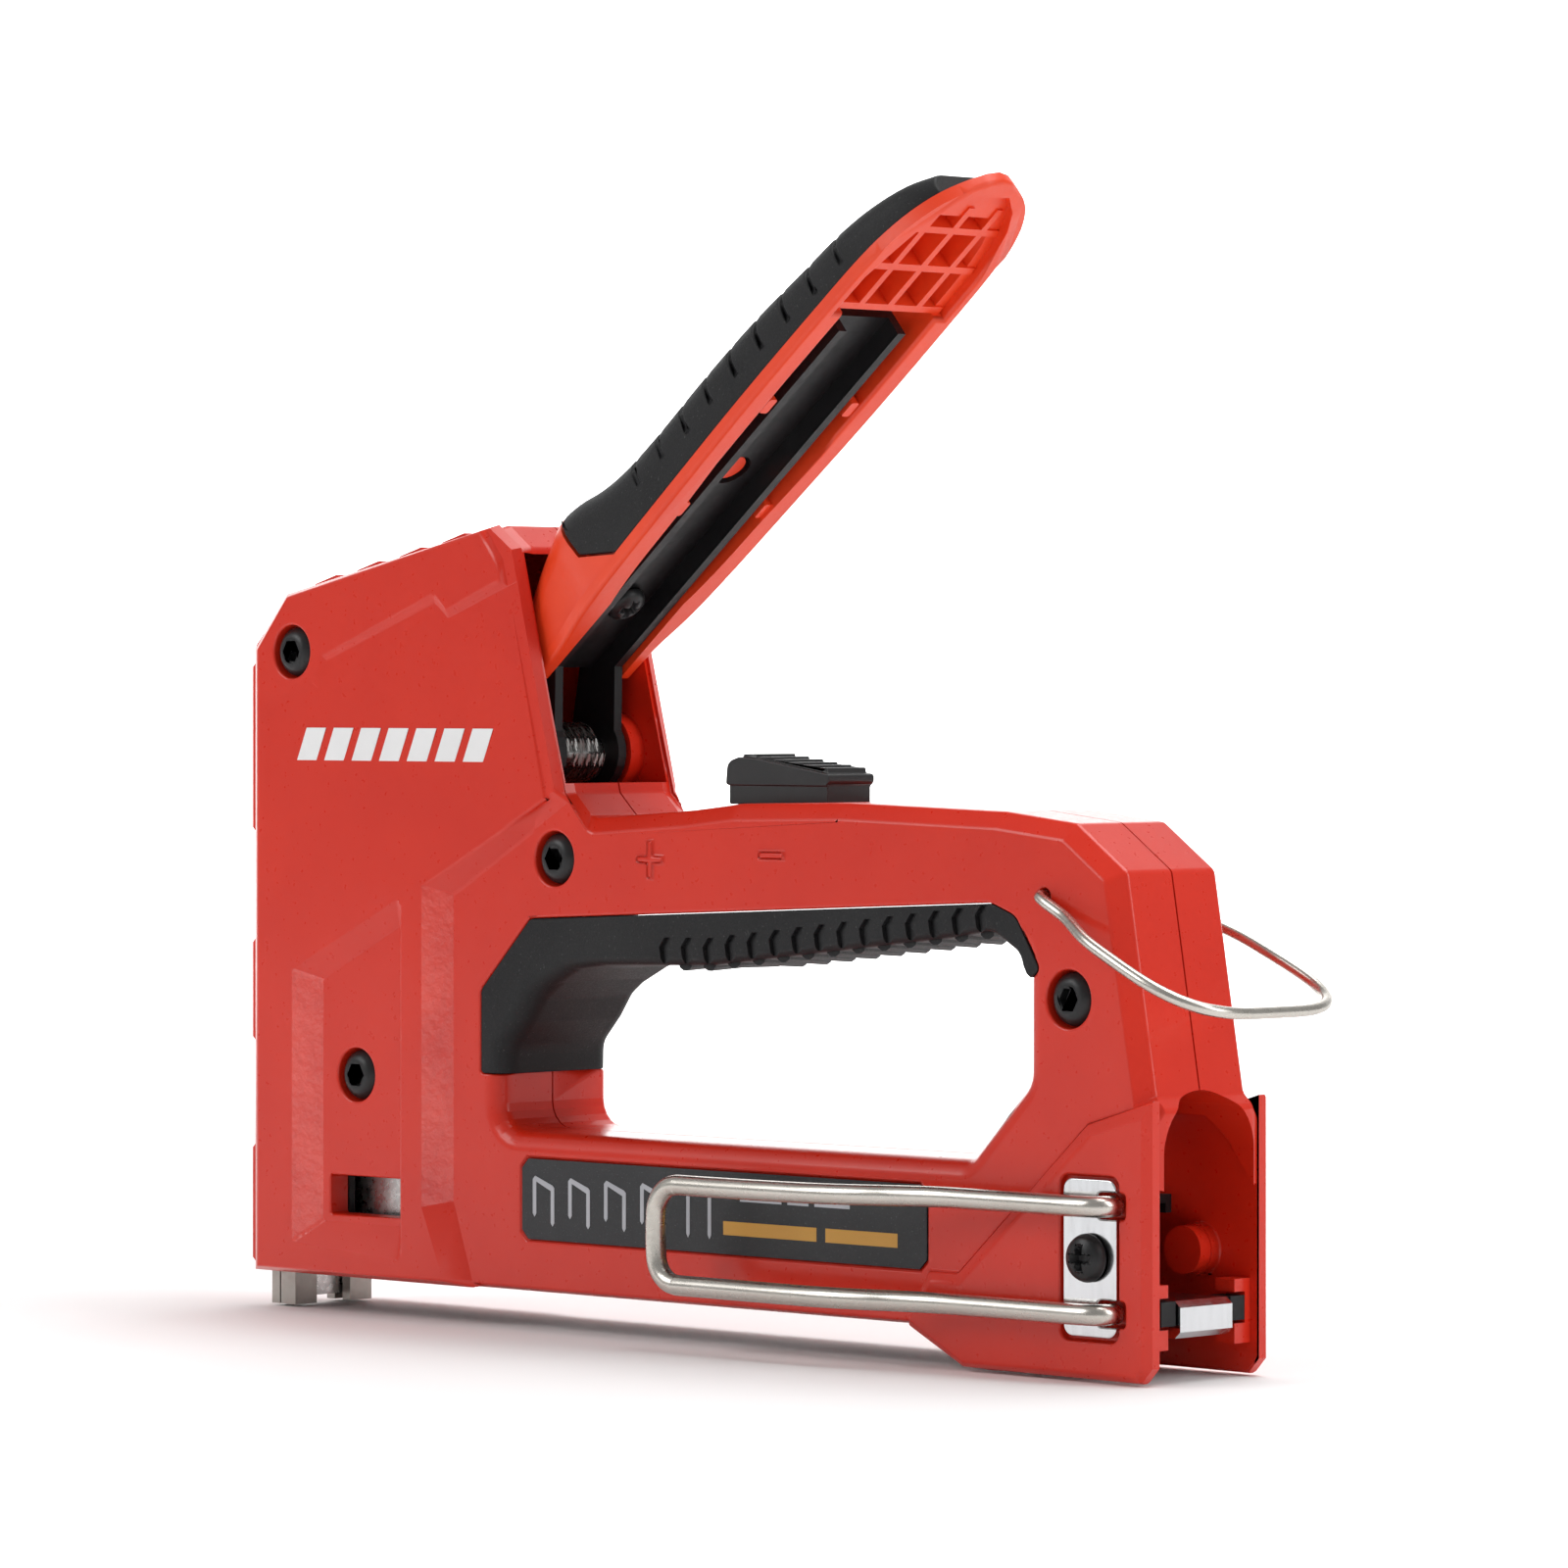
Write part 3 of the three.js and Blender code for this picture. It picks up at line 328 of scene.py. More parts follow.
# ---------- pieces ----------
def tidy(mesh, flat_angle):
    """Merges split points and joins faces that lie in one plane."""
    bm = bmesh.new()
    bm.from_mesh(mesh)
    bmesh.ops.remove_doubles(bm, verts=bm.verts, dist=0.004)
    bmesh.ops.dissolve_degenerate(bm, dist=0.004, edges=bm.edges)
    if flat_angle:
        bmesh.ops.triangulate(bm, faces=bm.faces, quad_method="BEAUTY", ngon_method="BEAUTY")
        flat = [edge for edge in bm.edges if edge.is_manifold and edge.calc_face_angle(1.0) < 0.002]
        bmesh.ops.beautify_fill(bm, faces=bm.faces, edges=flat)
        bmesh.ops.dissolve_limit(bm, angle_limit=math.radians(flat_angle), verts=bm.verts, edges=bm.edges,
                                 delimit={"MATERIAL"})
    bmesh.ops.recalc_face_normals(bm, faces=bm.faces)
    bm.to_mesh(mesh)
    bm.free()


def mark_edges(mesh, width, rule, corner, soft):
    """Gives each corner the share of the bevel width that rule asks for at its middle.

    A shallower crease between two broad faces only keeps the two faces shaded apart, so that
    the steps of a modelled fillet stay smooth."""
    bm = bmesh.new()
    bm.from_mesh(mesh)
    layer = bm.edges.layers.float.new("bevel_weight_edge")
    for edge in bm.edges:
        if len(edge.link_faces) != 2:
            continue
        angle = math.degrees(edge.calc_face_angle(0.0))
        breadth = min(face.calc_area() for face in edge.link_faces) / edge.calc_length()
        if angle > corner:
            edge[layer] = min(1.0, rule((edge.verts[0].co + edge.verts[1].co) / 2) / width)
            edge.smooth = edge[layer] > 0
        elif angle > soft and breadth > BROAD_FACE:
            edge.smooth = False
    bm.to_mesh(mesh)
    bm.free()


def piece(name, mesh, body, material, replaces=(), matrix=None, edge=0.0, rule=None, corner=28,
          soft=28, segments=3, flat_angle=0.4, extra=()):
    """One finished object on its body; edge is the widest rounding, and rule may vary it over the piece."""
    tidy(mesh, flat_angle)
    if edge:
        mark_edges(mesh, edge, rule or (lambda middle: edge), corner, soft)
    moved(mesh, PLACE @ matrix if matrix else PLACE)
    mesh.name = name
    obj = bpy.data.objects.new(name, mesh)
    bpy.context.scene.collection.objects.link(obj)
    mesh.materials.clear()
    for item in (material,) + tuple(extra):
        mesh.materials.append(item)
    finish_mesh(obj, edge, segments)
    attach(obj, body)
    if replaces:
        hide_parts(*replaces)
    return obj


def finish_mesh(obj, edge, segments=3):
    """Smooth shading, rounded edges and normals that keep flat faces flat."""
    obj.data.shade_smooth()
    if edge:
        bevel = obj.modifiers.new("rounded edges", "BEVEL")
        bevel.limit_method = "WEIGHT"
        bevel.width = edge * MM
        bevel.segments = segments
        bevel.use_clamp_overlap = False
    weighted = obj.modifiers.new("flat faces", "WEIGHTED_NORMAL")
    weighted.mode = "FACE_AREA"
    weighted.weight = 60
    weighted.keep_sharp = True


# ---------- materials ----------
def link(tree, a, out, b, into):
    tree.links.new(a.outputs[out], b.inputs[into])


def noise(tree, coords, scale, detail=3.0, stretch=None):
    source = coords
    if stretch:
        mapping = tree.nodes.new("ShaderNodeMapping")
        mapping.inputs["Scale"].default_value = stretch
        link(tree, coords, "Object", mapping, "Vector")
        source = mapping
    texture = tree.nodes.new("ShaderNodeTexNoise")
    texture.inputs["Scale"].default_value = scale
    texture.inputs["Detail"].default_value = detail
    link(tree, source, "Vector" if stretch else "Object", texture, "Vector")
    return texture


def spread(tree, texture, low, high):
    """A noise value stretched between two numbers."""
    node = tree.nodes.new("ShaderNodeMapRange")
    node.inputs["From Min"].default_value = 0.3
    node.inputs["From Max"].default_value = 0.7
    node.inputs["To Min"].default_value = low
    node.inputs["To Max"].default_value = high
    link(tree, texture, "Fac", node, "Value")
    return node


def finish(name, light, dark, rough, metallic=0.0, coat=0.0, coat_rough=0.08, grain=(900.0, 0.1, 0.0001),
           blotch=70.0, stretch=None, specular=0.5, fleck=None):
    """Procedural surface: two close shades in soft blotches, uneven roughness and a fine relief.

    rough is (low, high); grain is (noise scale per metre, strength, height in metres)."""
    material = bpy.data.materials.new(name)
    material.use_nodes = True
    tree = material.node_tree
    shader = tree.nodes["Principled BSDF"]
    coords = tree.nodes.new("ShaderNodeTexCoord")
    clouds = noise(tree, coords, blotch, 4.0, stretch)
    ramp = tree.nodes.new("ShaderNodeMix")
    ramp.data_type = "RGBA"
    ramp.inputs["A"].default_value = (*dark, 1)
    ramp.inputs["B"].default_value = (*light, 1)
    share = spread(tree, clouds, 0.0, 1.0)
    link(tree, share, "Result", ramp, "Factor")
    colour = ramp
    relief = noise(tree, coords, grain[0], 3.0, stretch)
    if fleck:
        scale, tone = fleck
        specks = noise(tree, coords, scale, 2.0)
        mask = tree.nodes.new("ShaderNodeMapRange")
        mask.inputs["From Min"].default_value = 0.66
        mask.inputs["From Max"].default_value = 0.76
        link(tree, specks, "Fac", mask, "Value")
        over = tree.nodes.new("ShaderNodeMix")
        over.data_type = "RGBA"
        over.inputs["B"].default_value = (*tone, 1)
        link(tree, mask, "Result", over, "Factor")
        tree.links.new(colour.outputs["Result"], over.inputs["A"])
        colour = over
    tree.links.new(colour.outputs["Result"], shader.inputs["Base Color"])
    polish = spread(tree, relief, rough[0], rough[1])
    link(tree, polish, "Result", shader, "Roughness")
    bump = tree.nodes.new("ShaderNodeBump")
    bump.inputs["Strength"].default_value = grain[1]
    bump.inputs["Distance"].default_value = grain[2]
    link(tree, relief, "Fac", bump, "Height")
    link(tree, bump, "Normal", shader, "Normal")
    shader.inputs["Metallic"].default_value = metallic
    shader.inputs["Coat Weight"].default_value = coat
    shader.inputs["Coat Roughness"].default_value = coat_rough
    shader.inputs["Specular IOR Level"].default_value = specular
    return material


red_paint = finish("red_paint", (0.66, 0.025, 0.008), (0.62, 0.021, 0.007), (0.27, 0.34), coat=0.15,
                   coat_rough=0.06,
                   specular=0.4, grain=(1000.0, 0.05, 0.0001))
# Cast finish: the coarser relief is real texture; the lighter red base is a painted highlight on the walls
# it covers.
cast_paint_with_highlight = finish("red_paint_cast_highlight", (0.82, 0.075, 0.05), (0.62, 0.025, 0.014), (0.16, 0.3), coat=0.8,
                    coat_rough=0.08,
                    grain=(620.0, 0.55, 0.0006))
red_plastic = finish("red_plastic", (0.84, 0.06, 0.012), (0.78, 0.048, 0.01), (0.32, 0.42),
                     grain=(1600.0, 0.08, 0.0001))
black_rubber = finish("black_rubber", (0.018, 0.018, 0.019), (0.012, 0.012, 0.013), (0.5, 0.66),
                      specular=0.25,
                      grain=(3800.0, 0.35, 0.00008), fleck=(2600.0, (0.05, 0.05, 0.05)))
bumper_rubber = finish("bumper_rubber", (0.03, 0.03, 0.03), (0.02, 0.02, 0.02), (0.6, 0.8),
                       grain=(2500.0, 0.3, 0.0001))
black_plastic = finish("black_plastic", (0.02, 0.02, 0.021), (0.014, 0.014, 0.015), (0.28, 0.4),
                       grain=(2200.0, 0.15, 0.00006))
black_steel = finish("black_steel", (0.012, 0.012, 0.013), (0.007, 0.007, 0.008), (0.34, 0.48),
                     specular=0.3,
                     grain=(500.0, 0.06, 0.0002))
black_screw = finish("black_screws", (0.02, 0.02, 0.021), (0.012, 0.012, 0.013), (0.32, 0.46),
                     metallic=0.3,
                     grain=(2400.0, 0.25, 0.00005))
nose_steel = finish("nose_steel", (0.5, 0.47, 0.43), (0.4, 0.38, 0.35), (0.32, 0.5), metallic=0.85,
                    grain=(1500.0, 0.2, 0.0001))
bright_steel = finish("bright_steel", (0.62, 0.61, 0.6), (0.5, 0.5, 0.49), (0.22, 0.36), metallic=1.0,
                      grain=(900.0, 0.12, 0.0001))
spring_steel = finish("spring_steel", (0.5, 0.49, 0.47), (0.38, 0.37, 0.36), (0.28, 0.42), metallic=1.0,
                      grain=(1400.0, 0.15, 0.00008))
nickel_wire = finish("nickel_wire", (0.62, 0.59, 0.54), (0.56, 0.53, 0.48), (0.24, 0.32), metallic=1.0,
                     blotch=160.0,
                     stretch=(0.25, 1, 1), grain=(900.0, 0.04, 0.0001))
chrome_plate = finish("chrome_plate", (0.74, 0.75, 0.76), (0.64, 0.65, 0.67), (0.1, 0.22), metallic=1.0,
                      stretch=(1, 1, 0.2), grain=(1100.0, 0.05, 0.0001))
black_sticker = finish("black_sticker", (0.02, 0.021, 0.024), (0.013, 0.014, 0.016), (0.35, 0.5),
                       grain=(3000.0, 0.3, 0.00005), fleck=(4200.0, (0.1, 0.1, 0.11)))
silver_ink = finish("silver_ink", (0.5, 0.51, 0.54), (0.38, 0.39, 0.42), (0.35, 0.5),
                    grain=(2500.0, 0.1, 0.00003))
amber_ink = finish("amber_ink", (0.68, 0.36, 0.06), (0.6, 0.3, 0.05), (0.35, 0.5),
                   grain=(2500.0, 0.1, 0.00003))
white_ink = finish("white_ink", (0.86, 0.86, 0.86), (0.8, 0.8, 0.8), (0.3, 0.42),
                   grain=(1500.0, 0.06, 0.00005))

# ---------- housing outlines ----------
GRIP_OUTLINE = [
    (0, 5.4), (142, 5.4), (152.6, 0.2), (156, 0), (186, 0), (188, 2.2), (188, 37.6), (186.3, 39.2),
    (181, 70.3),
    (171.7, 76.9), (158.2, 78.4), (127.4, 79.3), (106.1, 78.9), (96.1, 77.8), (75.4, 76.4), (71.6, 80),
    (68, 93.2),
    (62, 116.7), (57.2, 120.2), (9.5, 110.2), (0, 100.5),
]
GRIP_RADII = [1, 3, 2, 4, 1.2, 1.2, 1.4, 1.2, 1.4, 1.6, 6, 20, 20, 16, 2.2, 1.2, 4, 1.4, 1.4, 1.8, 1.8]
DEEP_EDGES = (6, 7, 8, 9, 10, 11, 12, 13, 20)
HOLE = [
    (57, 45), (57, 29.3), (152.6, 29.3), (163.8, 40.6), (163.8, 60), (120, 60),
]
HOLE_RADII = [2, 4, 2.5, 4, 3, 4]
INSERT_OUTER = [
    (53.3, 37.8), (68, 37.8), (140, 52), (163.6, 54.8), (166.5, 56.4), (161.9, 63.8), (157.3, 65.5),
    (63.9, 61.2),
    (53.3, 50.3),
]
INSERT_RADII = [0.6, 3, 10, 0.8, 0.8, 3, 4, 1.5, 1.5]
HEAD_BASE = [
    (2.2, 5.4), (52.4, 5.4), (47.9, 18.3), (47.9, 64.4), (64, 73.6), (70.7, 79.4), (61, 116.7),
    (57.2, 120.2),
    (9.5, 110.2), (2.2, 101.9),
]
HEAD_FACE = [
    (5, 6.2), (47, 6.2), (42.4, 17.2), (42.4, 65.9), (60, 74.5), (68.5, 78.9), (58.8, 114.3), (55, 119.2),
    (12, 109.7), (5, 101.5),
]
HEAD_REAR_BASE = [
    (50, 75), (64.5, 73.8), (73.4, 78.2), (71.6, 80), (68, 93.2), (62, 116.7), (57.2, 120.2), (50, 118.7),
]
HEAD_REAR_FACE = [
    (50, 78), (62, 77.4), (70.6, 80.4), (70.4, 81.4), (67.4, 93), (61.4, 116.4), (56.8, 119.6),
    (50, 118.1),
]
HEEL_BASE = [
    (142, 5.4), (152.6, 0.2), (186, 0), (188, 2.2), (188, 39), (176, 35.4), (151.6, 13.4), (146, 13.4),
]
HEEL_FACE = [
    (143, 6.3), (153, 1), (185.6, 1), (186.8, 2.6), (186.8, 36.4), (177, 33.6), (152.8, 12), (147, 12),
]
STEP_LINE = [
    (6.5, 60), (74, 60), (66, 114.4), (58.6, 111.7), (47.9, 107.9), (45.1, 110.1), (19.4, 100.9),
    (17.8, 96.8),
    (6.5, 93.6),
]
STEP_DEPTH = 0.85
STEP_TAPER = [0.1, 0.1, 1.5, 1.5, 1.5, 1.5, 1.5, 1.5, 1.5]
SCREWS = {
    "top": (13, 101.3, HEAD_HALF),
    "nose": (26, 36.5, HEAD_HALF - 1.6),
    "middle": (69.2, 70.3, GRIP_HALF),
    "rear": (172, 52.5, GRIP_HALF),
}
CLIP_X, CLIP_Z = 177.4, 17.0
CLIP_LEGS = (CLIP_Z + 7.3, CLIP_Z - 7.6)


def label_outline(grow):
    g = grow
    return [
        (63.6 - g, 13.4 - g), (143.6 + g, 13.4 - g), (145 + g, 14.8 - g), (145 + g, 24 + g),
        (143.6 + g, 25.4 + g),
        (63.6 - g, 25.4 + g), (62.3 - g, 24 + g), (62.3 - g, 14.8 - g),
    ]


def flared(points, radii, inside, face, lip, steps=5):
    """Cutter whose outline opens out in a rounded lip just under a face."""
    rings = [side_ring(grown(points, radii, 0), inside)]
    for k in range(steps + 1):
        a = k / steps * math.pi / 2
        rings.append(side_ring(grown(points, radii, lip * (1 - math.cos(a))),
                               face - lip * (1 - math.sin(a))))
    rings.append(side_ring(grown(points, radii, lip), face + 4))
    return loft(rings)


def arch(half, spring, rise, x0, x1, steps=14):
    """Tunnel with a round roof, from the parting plane outwards."""
    points = [(-1, -1), (half, -1)]
    for k in range(steps + 1):
        a = k / steps * math.pi / 2
        points.append((half * math.cos(a), spring + rise * math.sin(a)))
    points.append((-1, spring + rise))
    return bar(points, x0, x1)


def half_shell(left):
    """One half of the housing, built with Y pointing outwards."""
    edges = [DEEP_CHAMFER if i in DEEP_EDGES else LIGHT_CHAMFER for i in range(len(GRIP_OUTLINE))]
    outer = rounded(GRIP_OUTLINE, GRIP_RADII)
    body = loft([side_ring(outer, PARTING), side_ring(outer, CHAMFER_START),
                 side_ring(rounded(inset(GRIP_OUTLINE, edges), GRIP_RADII), GRIP_HALF)])
    head = loft([side_ring(HEAD_BASE, GRIP_HALF - 0.2), side_ring(HEAD_FACE, HEAD_HALF)])
    head_rear = loft([side_ring(HEAD_REAR_BASE, GRIP_HALF - 0.2),
                      side_ring(HEAD_REAR_FACE, HEAD_REAR_HALF)])
    heel = loft([side_ring(HEEL_BASE, 10.5), side_ring(HEEL_BASE, HEEL_HALF - 1),
                 side_ring(HEEL_FACE, HEEL_HALF)])
    additions = [head, head_rear, heel]
    for z0, z1 in ((73, 100), (40.4, 57.1), (6, 25.1)):
        pad = [(-1, z0 + 1), (0.5, z0 - 0.4), (0.5, z1 + 0.4), (-1, z1 - 1)][::-1]
        additions.append(plate(pad, PARTING, 9))
    slope = (120.2 - 110.2) / (57.2 - 9.5)
    for x in (4, 13.6, 23.2, 32.7):
        z0 = 110.2 + (x + 8.7 - 9.5) * slope
        z1 = z0 + 6.4 * slope
        ridge = [(x + 8.7, z0 - 1), (x + 15.1, z1 - 1), (x + 14.3, z1 + 0.9), (x + 9.5, z0 + 0.9)]
        additions.append(plate(ridge, PARTING, 9))
    body = joined(body, *additions)

    cavity = plate(rounded([
        (2.2, 27), (49.8, 27), (49.8, 60), (52, 72), (54, 77.6), (62, 78.6), (66, 81.5), (74.5, 81.5),
        (74.5, 90),
        (62.2, 116), (55, 115.8), (10.3, 107.2), (2.2, 99.2)], 0.8, 3), -1, 10.6)
    tunnel = bar(rect(-1, 8.3, -1, 25.3), 2.2, 160)
    heel_room = plate(rounded([(150, -1), (190, -1), (190, 24), (180, 36), (160, 36), (154, 27),
                               (150, 27)], 1, 3),
                      -1, 10.4)
    grip_cavity = plate(rect(80, 158, 69, 73.4), -1, 7.6)
    knob_slot = slab(rounded([(78, -3), (117.5, -3), (117.5, 3.2), (78, 3.2)], 0.6), 70, 81.3)
    lip = 3.0 if left else 1.2
    hole = flared(HOLE, HOLE_RADII, -1, GRIP_HALF, lip)
    seat = plate(grown(INSERT_OUTER, INSERT_RADII, 0.08), -1, 20)
    pocket = loft([
        side_ring(rounded([(18.6, 13.8), (36.6, 13.8), (36.6, 59.7), (18.6, 50.8)], 0.6),
                  HEAD_HALF - 1.6),
        side_ring(rounded([(12.6, 10), (37.7, 8.4), (37.7, 64.3), (12.6, 52.4)], 0.8), HEAD_HALF + 0.15)])
    window = plate(rounded(rect(20.2, 36.6, 15, 21), 0.5), 4, 20)
    def step_depth(z):
        return HEAD_HALF + 0.1 - STEP_DEPTH * (z - 60) / 50

    step_inner = inset(STEP_LINE, STEP_TAPER)
    step = loft([[(x, step_depth(z), z) for x, z in rounded(step_inner, 0.5, 3)],
                 side_ring(rounded(STEP_LINE, 0.6, 3), HEAD_HALF + 0.15),
                 side_ring(rounded(STEP_LINE, 0.6, 3), HEAD_HALF + 2)])
    label_seat = plate(label_outline(0.3), GRIP_HALF - 0.6, 20)
    tools = [cavity, tunnel, heel_room, arch(9.5, 31.5, 8.5, 158, 191), grip_cavity, knob_slot, hole,
             seat, pocket,
             window, step, label_seat]
    if left:
        clip_seat = plate(rounded(rect(CLIP_X - 5.6, CLIP_X + 5.2, CLIP_Z - 11.6, CLIP_Z + 11.4), 1.6),
                          HEEL_HALF - 1.2, 20)
        tools.append(clip_seat)
    body = cut(body, *tools)

    inside = [lathe([(PARTING, 4.6), (10.8, 4.6)], "y", (x, z)) for x, z, face in SCREWS.values()]
    inside.append(lathe([(7.8, 6), (10.8, 6)], "y", (60, 86)))
    inside.append(block(8.4, 49.9, PARTING, 10.8, 41.2, 44))
    inside.append(block(2.4, 28.9, PARTING, 10.8, 98.6, 101.2))
    post = cut(block(183, 186.5, 7, 10.6, 4.4, 13.4), block(180, 190, 5, 9.2, 7.2, 11.6))
    inside.append(post)
    inside.append(lathe([(6.4, 3.4), (10.6, 3.4)], "y", (CLIP_X, CLIP_Z)))
    body = joined(body, *inside)

    tools = []
    for x, z, face in SCREWS.values():
        tools.append(lathe([(-1, SHANK_HOLE), (14, SHANK_HOLE)], "y", (x, z)))
        if left:
            tools.append(lathe([(face - 2.2, SCREW_HEAD + SCREW_CLEAR), (16, SCREW_HEAD + SCREW_CLEAR)],
                               "y", (x, z)))
        else:
            tools.append(plate(circle(x, z, NUT_RADIUS + SCREW_CLEAR, 6), NUT_FACE - 0.3, 16))
    tools.append(lathe([(-1, 2.55), (9.4, 2.55)], "y", (PIVOT.x, PIVOT.z)))
    tools.append(lathe([(9, 1.15), (14, 1.15)], "y", (BAIL_PIVOT.x, BAIL_PIVOT.z), 24))
    tools.append(slab(rect(2.2, 8, -1, 8.3), -1, 46.4))
    tools.append(lathe([(-1, 6.6), (7.6, 6.6)], "y", (PIVOT.x, PIVOT.z)))
    if left:
        tools.append(lathe([(4, 1.6), (14, 1.6)], "y", (CLIP_X, CLIP_Z), 24))
        for z in CLIP_LEGS:
            tools.append(block(CLIP_X + 1.6, CLIP_X + 6.4, 10.8, 16, z - 1.8, z + 1.8, 0.6))
    else:
        ring = cut(lathe([(8.6, 3.6), (10.6, 3.6)], "y", (CLIP_X, CLIP_Z)),
                   lathe([(8, 2.4), (10, 2.4)], "y", (CLIP_X, CLIP_Z)))
        body = joined(body, ring)
    body = cut(body, *tools)
    if left:
        marks = [block(86.9, 92.3, 11.3, 11.75, 70.0, 71.0), block(89.1, 90.1, 11.3, 11.75, 67.7, 73.3),
                 block(112, 117, 11.3, 11.75, 71.0, 72.0)]
        body = joined(body, *marks)
    return body


def shell_edge(middle):
    """Rounding of the housing's edges; nose, roof, rear ends, parting line and inside stay crisp."""
    out = abs(middle.y)
    roof_or_base = middle.x < 62 and (middle.z > 105 or middle.z < 5.8)
    pocket_foot = 36 < middle.x < 38.5 and middle.z < 25
    front = (middle.x < 6 or roof_or_base or pocket_foot) and out < 13.2
    rear = middle.x > 184 or middle.x > 60 and middle.z > 80
    inside = out < 0.4 or out < 8.9 and 3 < middle.x < 184 and middle.z < 78
    return 0.0 if front or rear or inside else SHELL_ROUNDING


def textured_highlight_walls(obj):
    """Puts the cast finish on the sloped walls of the head: a coarser cast relief, with a lighter red that
    is a painted highlight.
    """
    inverse = PLACE.inverted()
    for face in obj.data.polygons:
        c = inverse @ face.center
        n = face.normal
        if not GRIP_HALF + 0.1 < abs(c.y) < HEAD_HALF - 0.05:
            continue
        rear_wall = n.x > 0.2 and 42 < c.x < 48.5 and 17 < c.z < 66
        pocket_wall = n.x > 0.1 and 13 < c.x < 19 and 11 < c.z < 52
        if rear_wall or pocket_wall:
            face.material_index = 1


for body_side in ("left", "right"):
    mesh = half_shell(body_side == "left")
    if body_side == "left":
        moved(mesh, MIRROR)
    shell = piece(body_side + "_housing", mesh, "housing", red_paint, [body_side + "_shell"],
                  edge=SHELL_ROUNDING, rule=shell_edge, soft=7, extra=(cast_paint_with_highlight,))
    # The sloped head walls get the cast finish, whose lighter red is a painted highlight.
    textured_highlight_walls(shell)


# ---------- finger insert ----------
INSERT_INNER = [
    (58.1, 30), (170, 30), (170, 54.8), (163.9, 55), (162.8, 58.4), (157.3, 61.6), (147.9, 60.3),
    (101.1, 55.2),
    (79.3, 54.7), (72.6, 53.9), (68.3, 51.8), (64.6, 49.1), (62.1, 45.6), (58.4, 41.6),
]
INSERT_LIPS = [3.4, 0.1, 0.1, 0.4, 1.0, 1.2, 1.4, 1.5, 1.9, 2.6, 3.4, 3.4, 3.4, 3.4]
INSERT_FACE = GRIP_HALF - 0.1
RIBS, RIB_PITCH = 13, 5
NOTCHES, NOTCH_START, NOTCH_PITCH = 15, 91.5, 4.5


def insert_opening():
    """Finger side of the insert, with a lip that grows towards the front."""
    steps = 8
    deepest = max(INSERT_LIPS)

    def ring(y):
        amounts = []
        for lip in INSERT_LIPS:
            d = abs(INSERT_FACE - min(abs(y), INSERT_FACE))
            amounts.append(-(lip - math.sqrt(max(lip ** 2 - (lip - d) ** 2, 0))) if d < lip else 0.0)
        return side_ring(rounded(inset(INSERT_INNER, amounts), 3.5, 3), y)

    levels = [INSERT_FACE + 3, INSERT_FACE]
    for k in range(1, steps + 1):
        levels.append(INSERT_FACE - deepest * (1 - math.cos(k / steps * math.pi / 2)))
    rings = [ring(-y) for y in levels] + [ring(y) for y in reversed(levels)]
    return loft(rings)


def insert_mesh():
    body = plate(rounded(INSERT_OUTER, INSERT_RADII), -INSERT_FACE, INSERT_FACE)
    body = cut(body, insert_opening())

    def underside(x):
        return 54.9 + (x - 90) * 0.02 if x < 101.1 else 55.2 + (x - 101.1) * 0.109

    ribs = []
    for i in range(RIBS):
        x = 90 + i * RIB_PITCH
        rings = []
        for y in (-10.2, 10.2):
            xs = x - y * 0.55
            z = underside(xs)
            rings.append([(xs - 1.5, y, z + 1), (xs - 1.2, y, z - 0.25), (xs - 0.4, y, z - 0.7),
                          (xs + 0.4, y, z - 0.7),
                          (xs + 1.2, y, z - 0.25), (xs + 1.5, y, z + 1)])
        ribs.append(loft(rings))
    body = joined(body, *ribs)
    notches = []
    for i in range(NOTCHES):
        x = NOTCH_START + i * NOTCH_PITCH
        z = underside(x) + 0.4
        for side in (-1, 1):
            face = side * INSERT_FACE
            deep = side * (INSERT_FACE - 0.75)
            out = side * (INSERT_FACE + 1)
            notches.append(loft([
                [(x + 0.2, deep, z), (x + 2.4, face, z), (x + 2.4, out, z), (x + 0.2, out, z)],
                [(x - 0.2, deep, z + 2.4), (x + 2, face, z + 2.4), (x + 2, out, z + 2.4),
                 (x - 0.2, out, z + 2.4)],
                [(x + 0.9, deep, z + 3.8), (x + 2.2, face, z + 3.8), (x + 2.2, out, z + 3.8),
                 (x + 0.9, out, z + 3.8)]]))
    return cut(body, *notches)


piece("finger_insert", insert_mesh(), "housing", black_rubber, ["grip_insert"], edge=0.2,
      rule=lambda middle: 0.2 if middle.x < 88 else 0.0)


# ---------- screws and nuts ----------
def housing_screw(x, z, face):
    crown = -(face + 0.1)
    profile = rounded_profile([
        (crown, 0.01), (crown, 2.6), (crown + 1.3, SCREW_HEAD), (crown + 2.1, SCREW_HEAD),
        (crown + 2.1, 1.9),
        (NUT_FACE + 1.6, 1.9), (NUT_FACE + 2.2, 1.5), (NUT_FACE + 2.2, 0.01)], 0.7)
    socket = loft([side_ring(circle(x, z, SOCKET_RADIUS, 6), crown - 1),
                   side_ring(circle(x, z, SOCKET_RADIUS, 6), crown + 0.2),
                   side_ring(circle(x, z, 1.6, 6), crown + 0.35),
                   side_ring(circle(x, z, 1.6, 6), crown + 1.5)])
    return cut(lathe(profile, "y", (x, z)), socket)


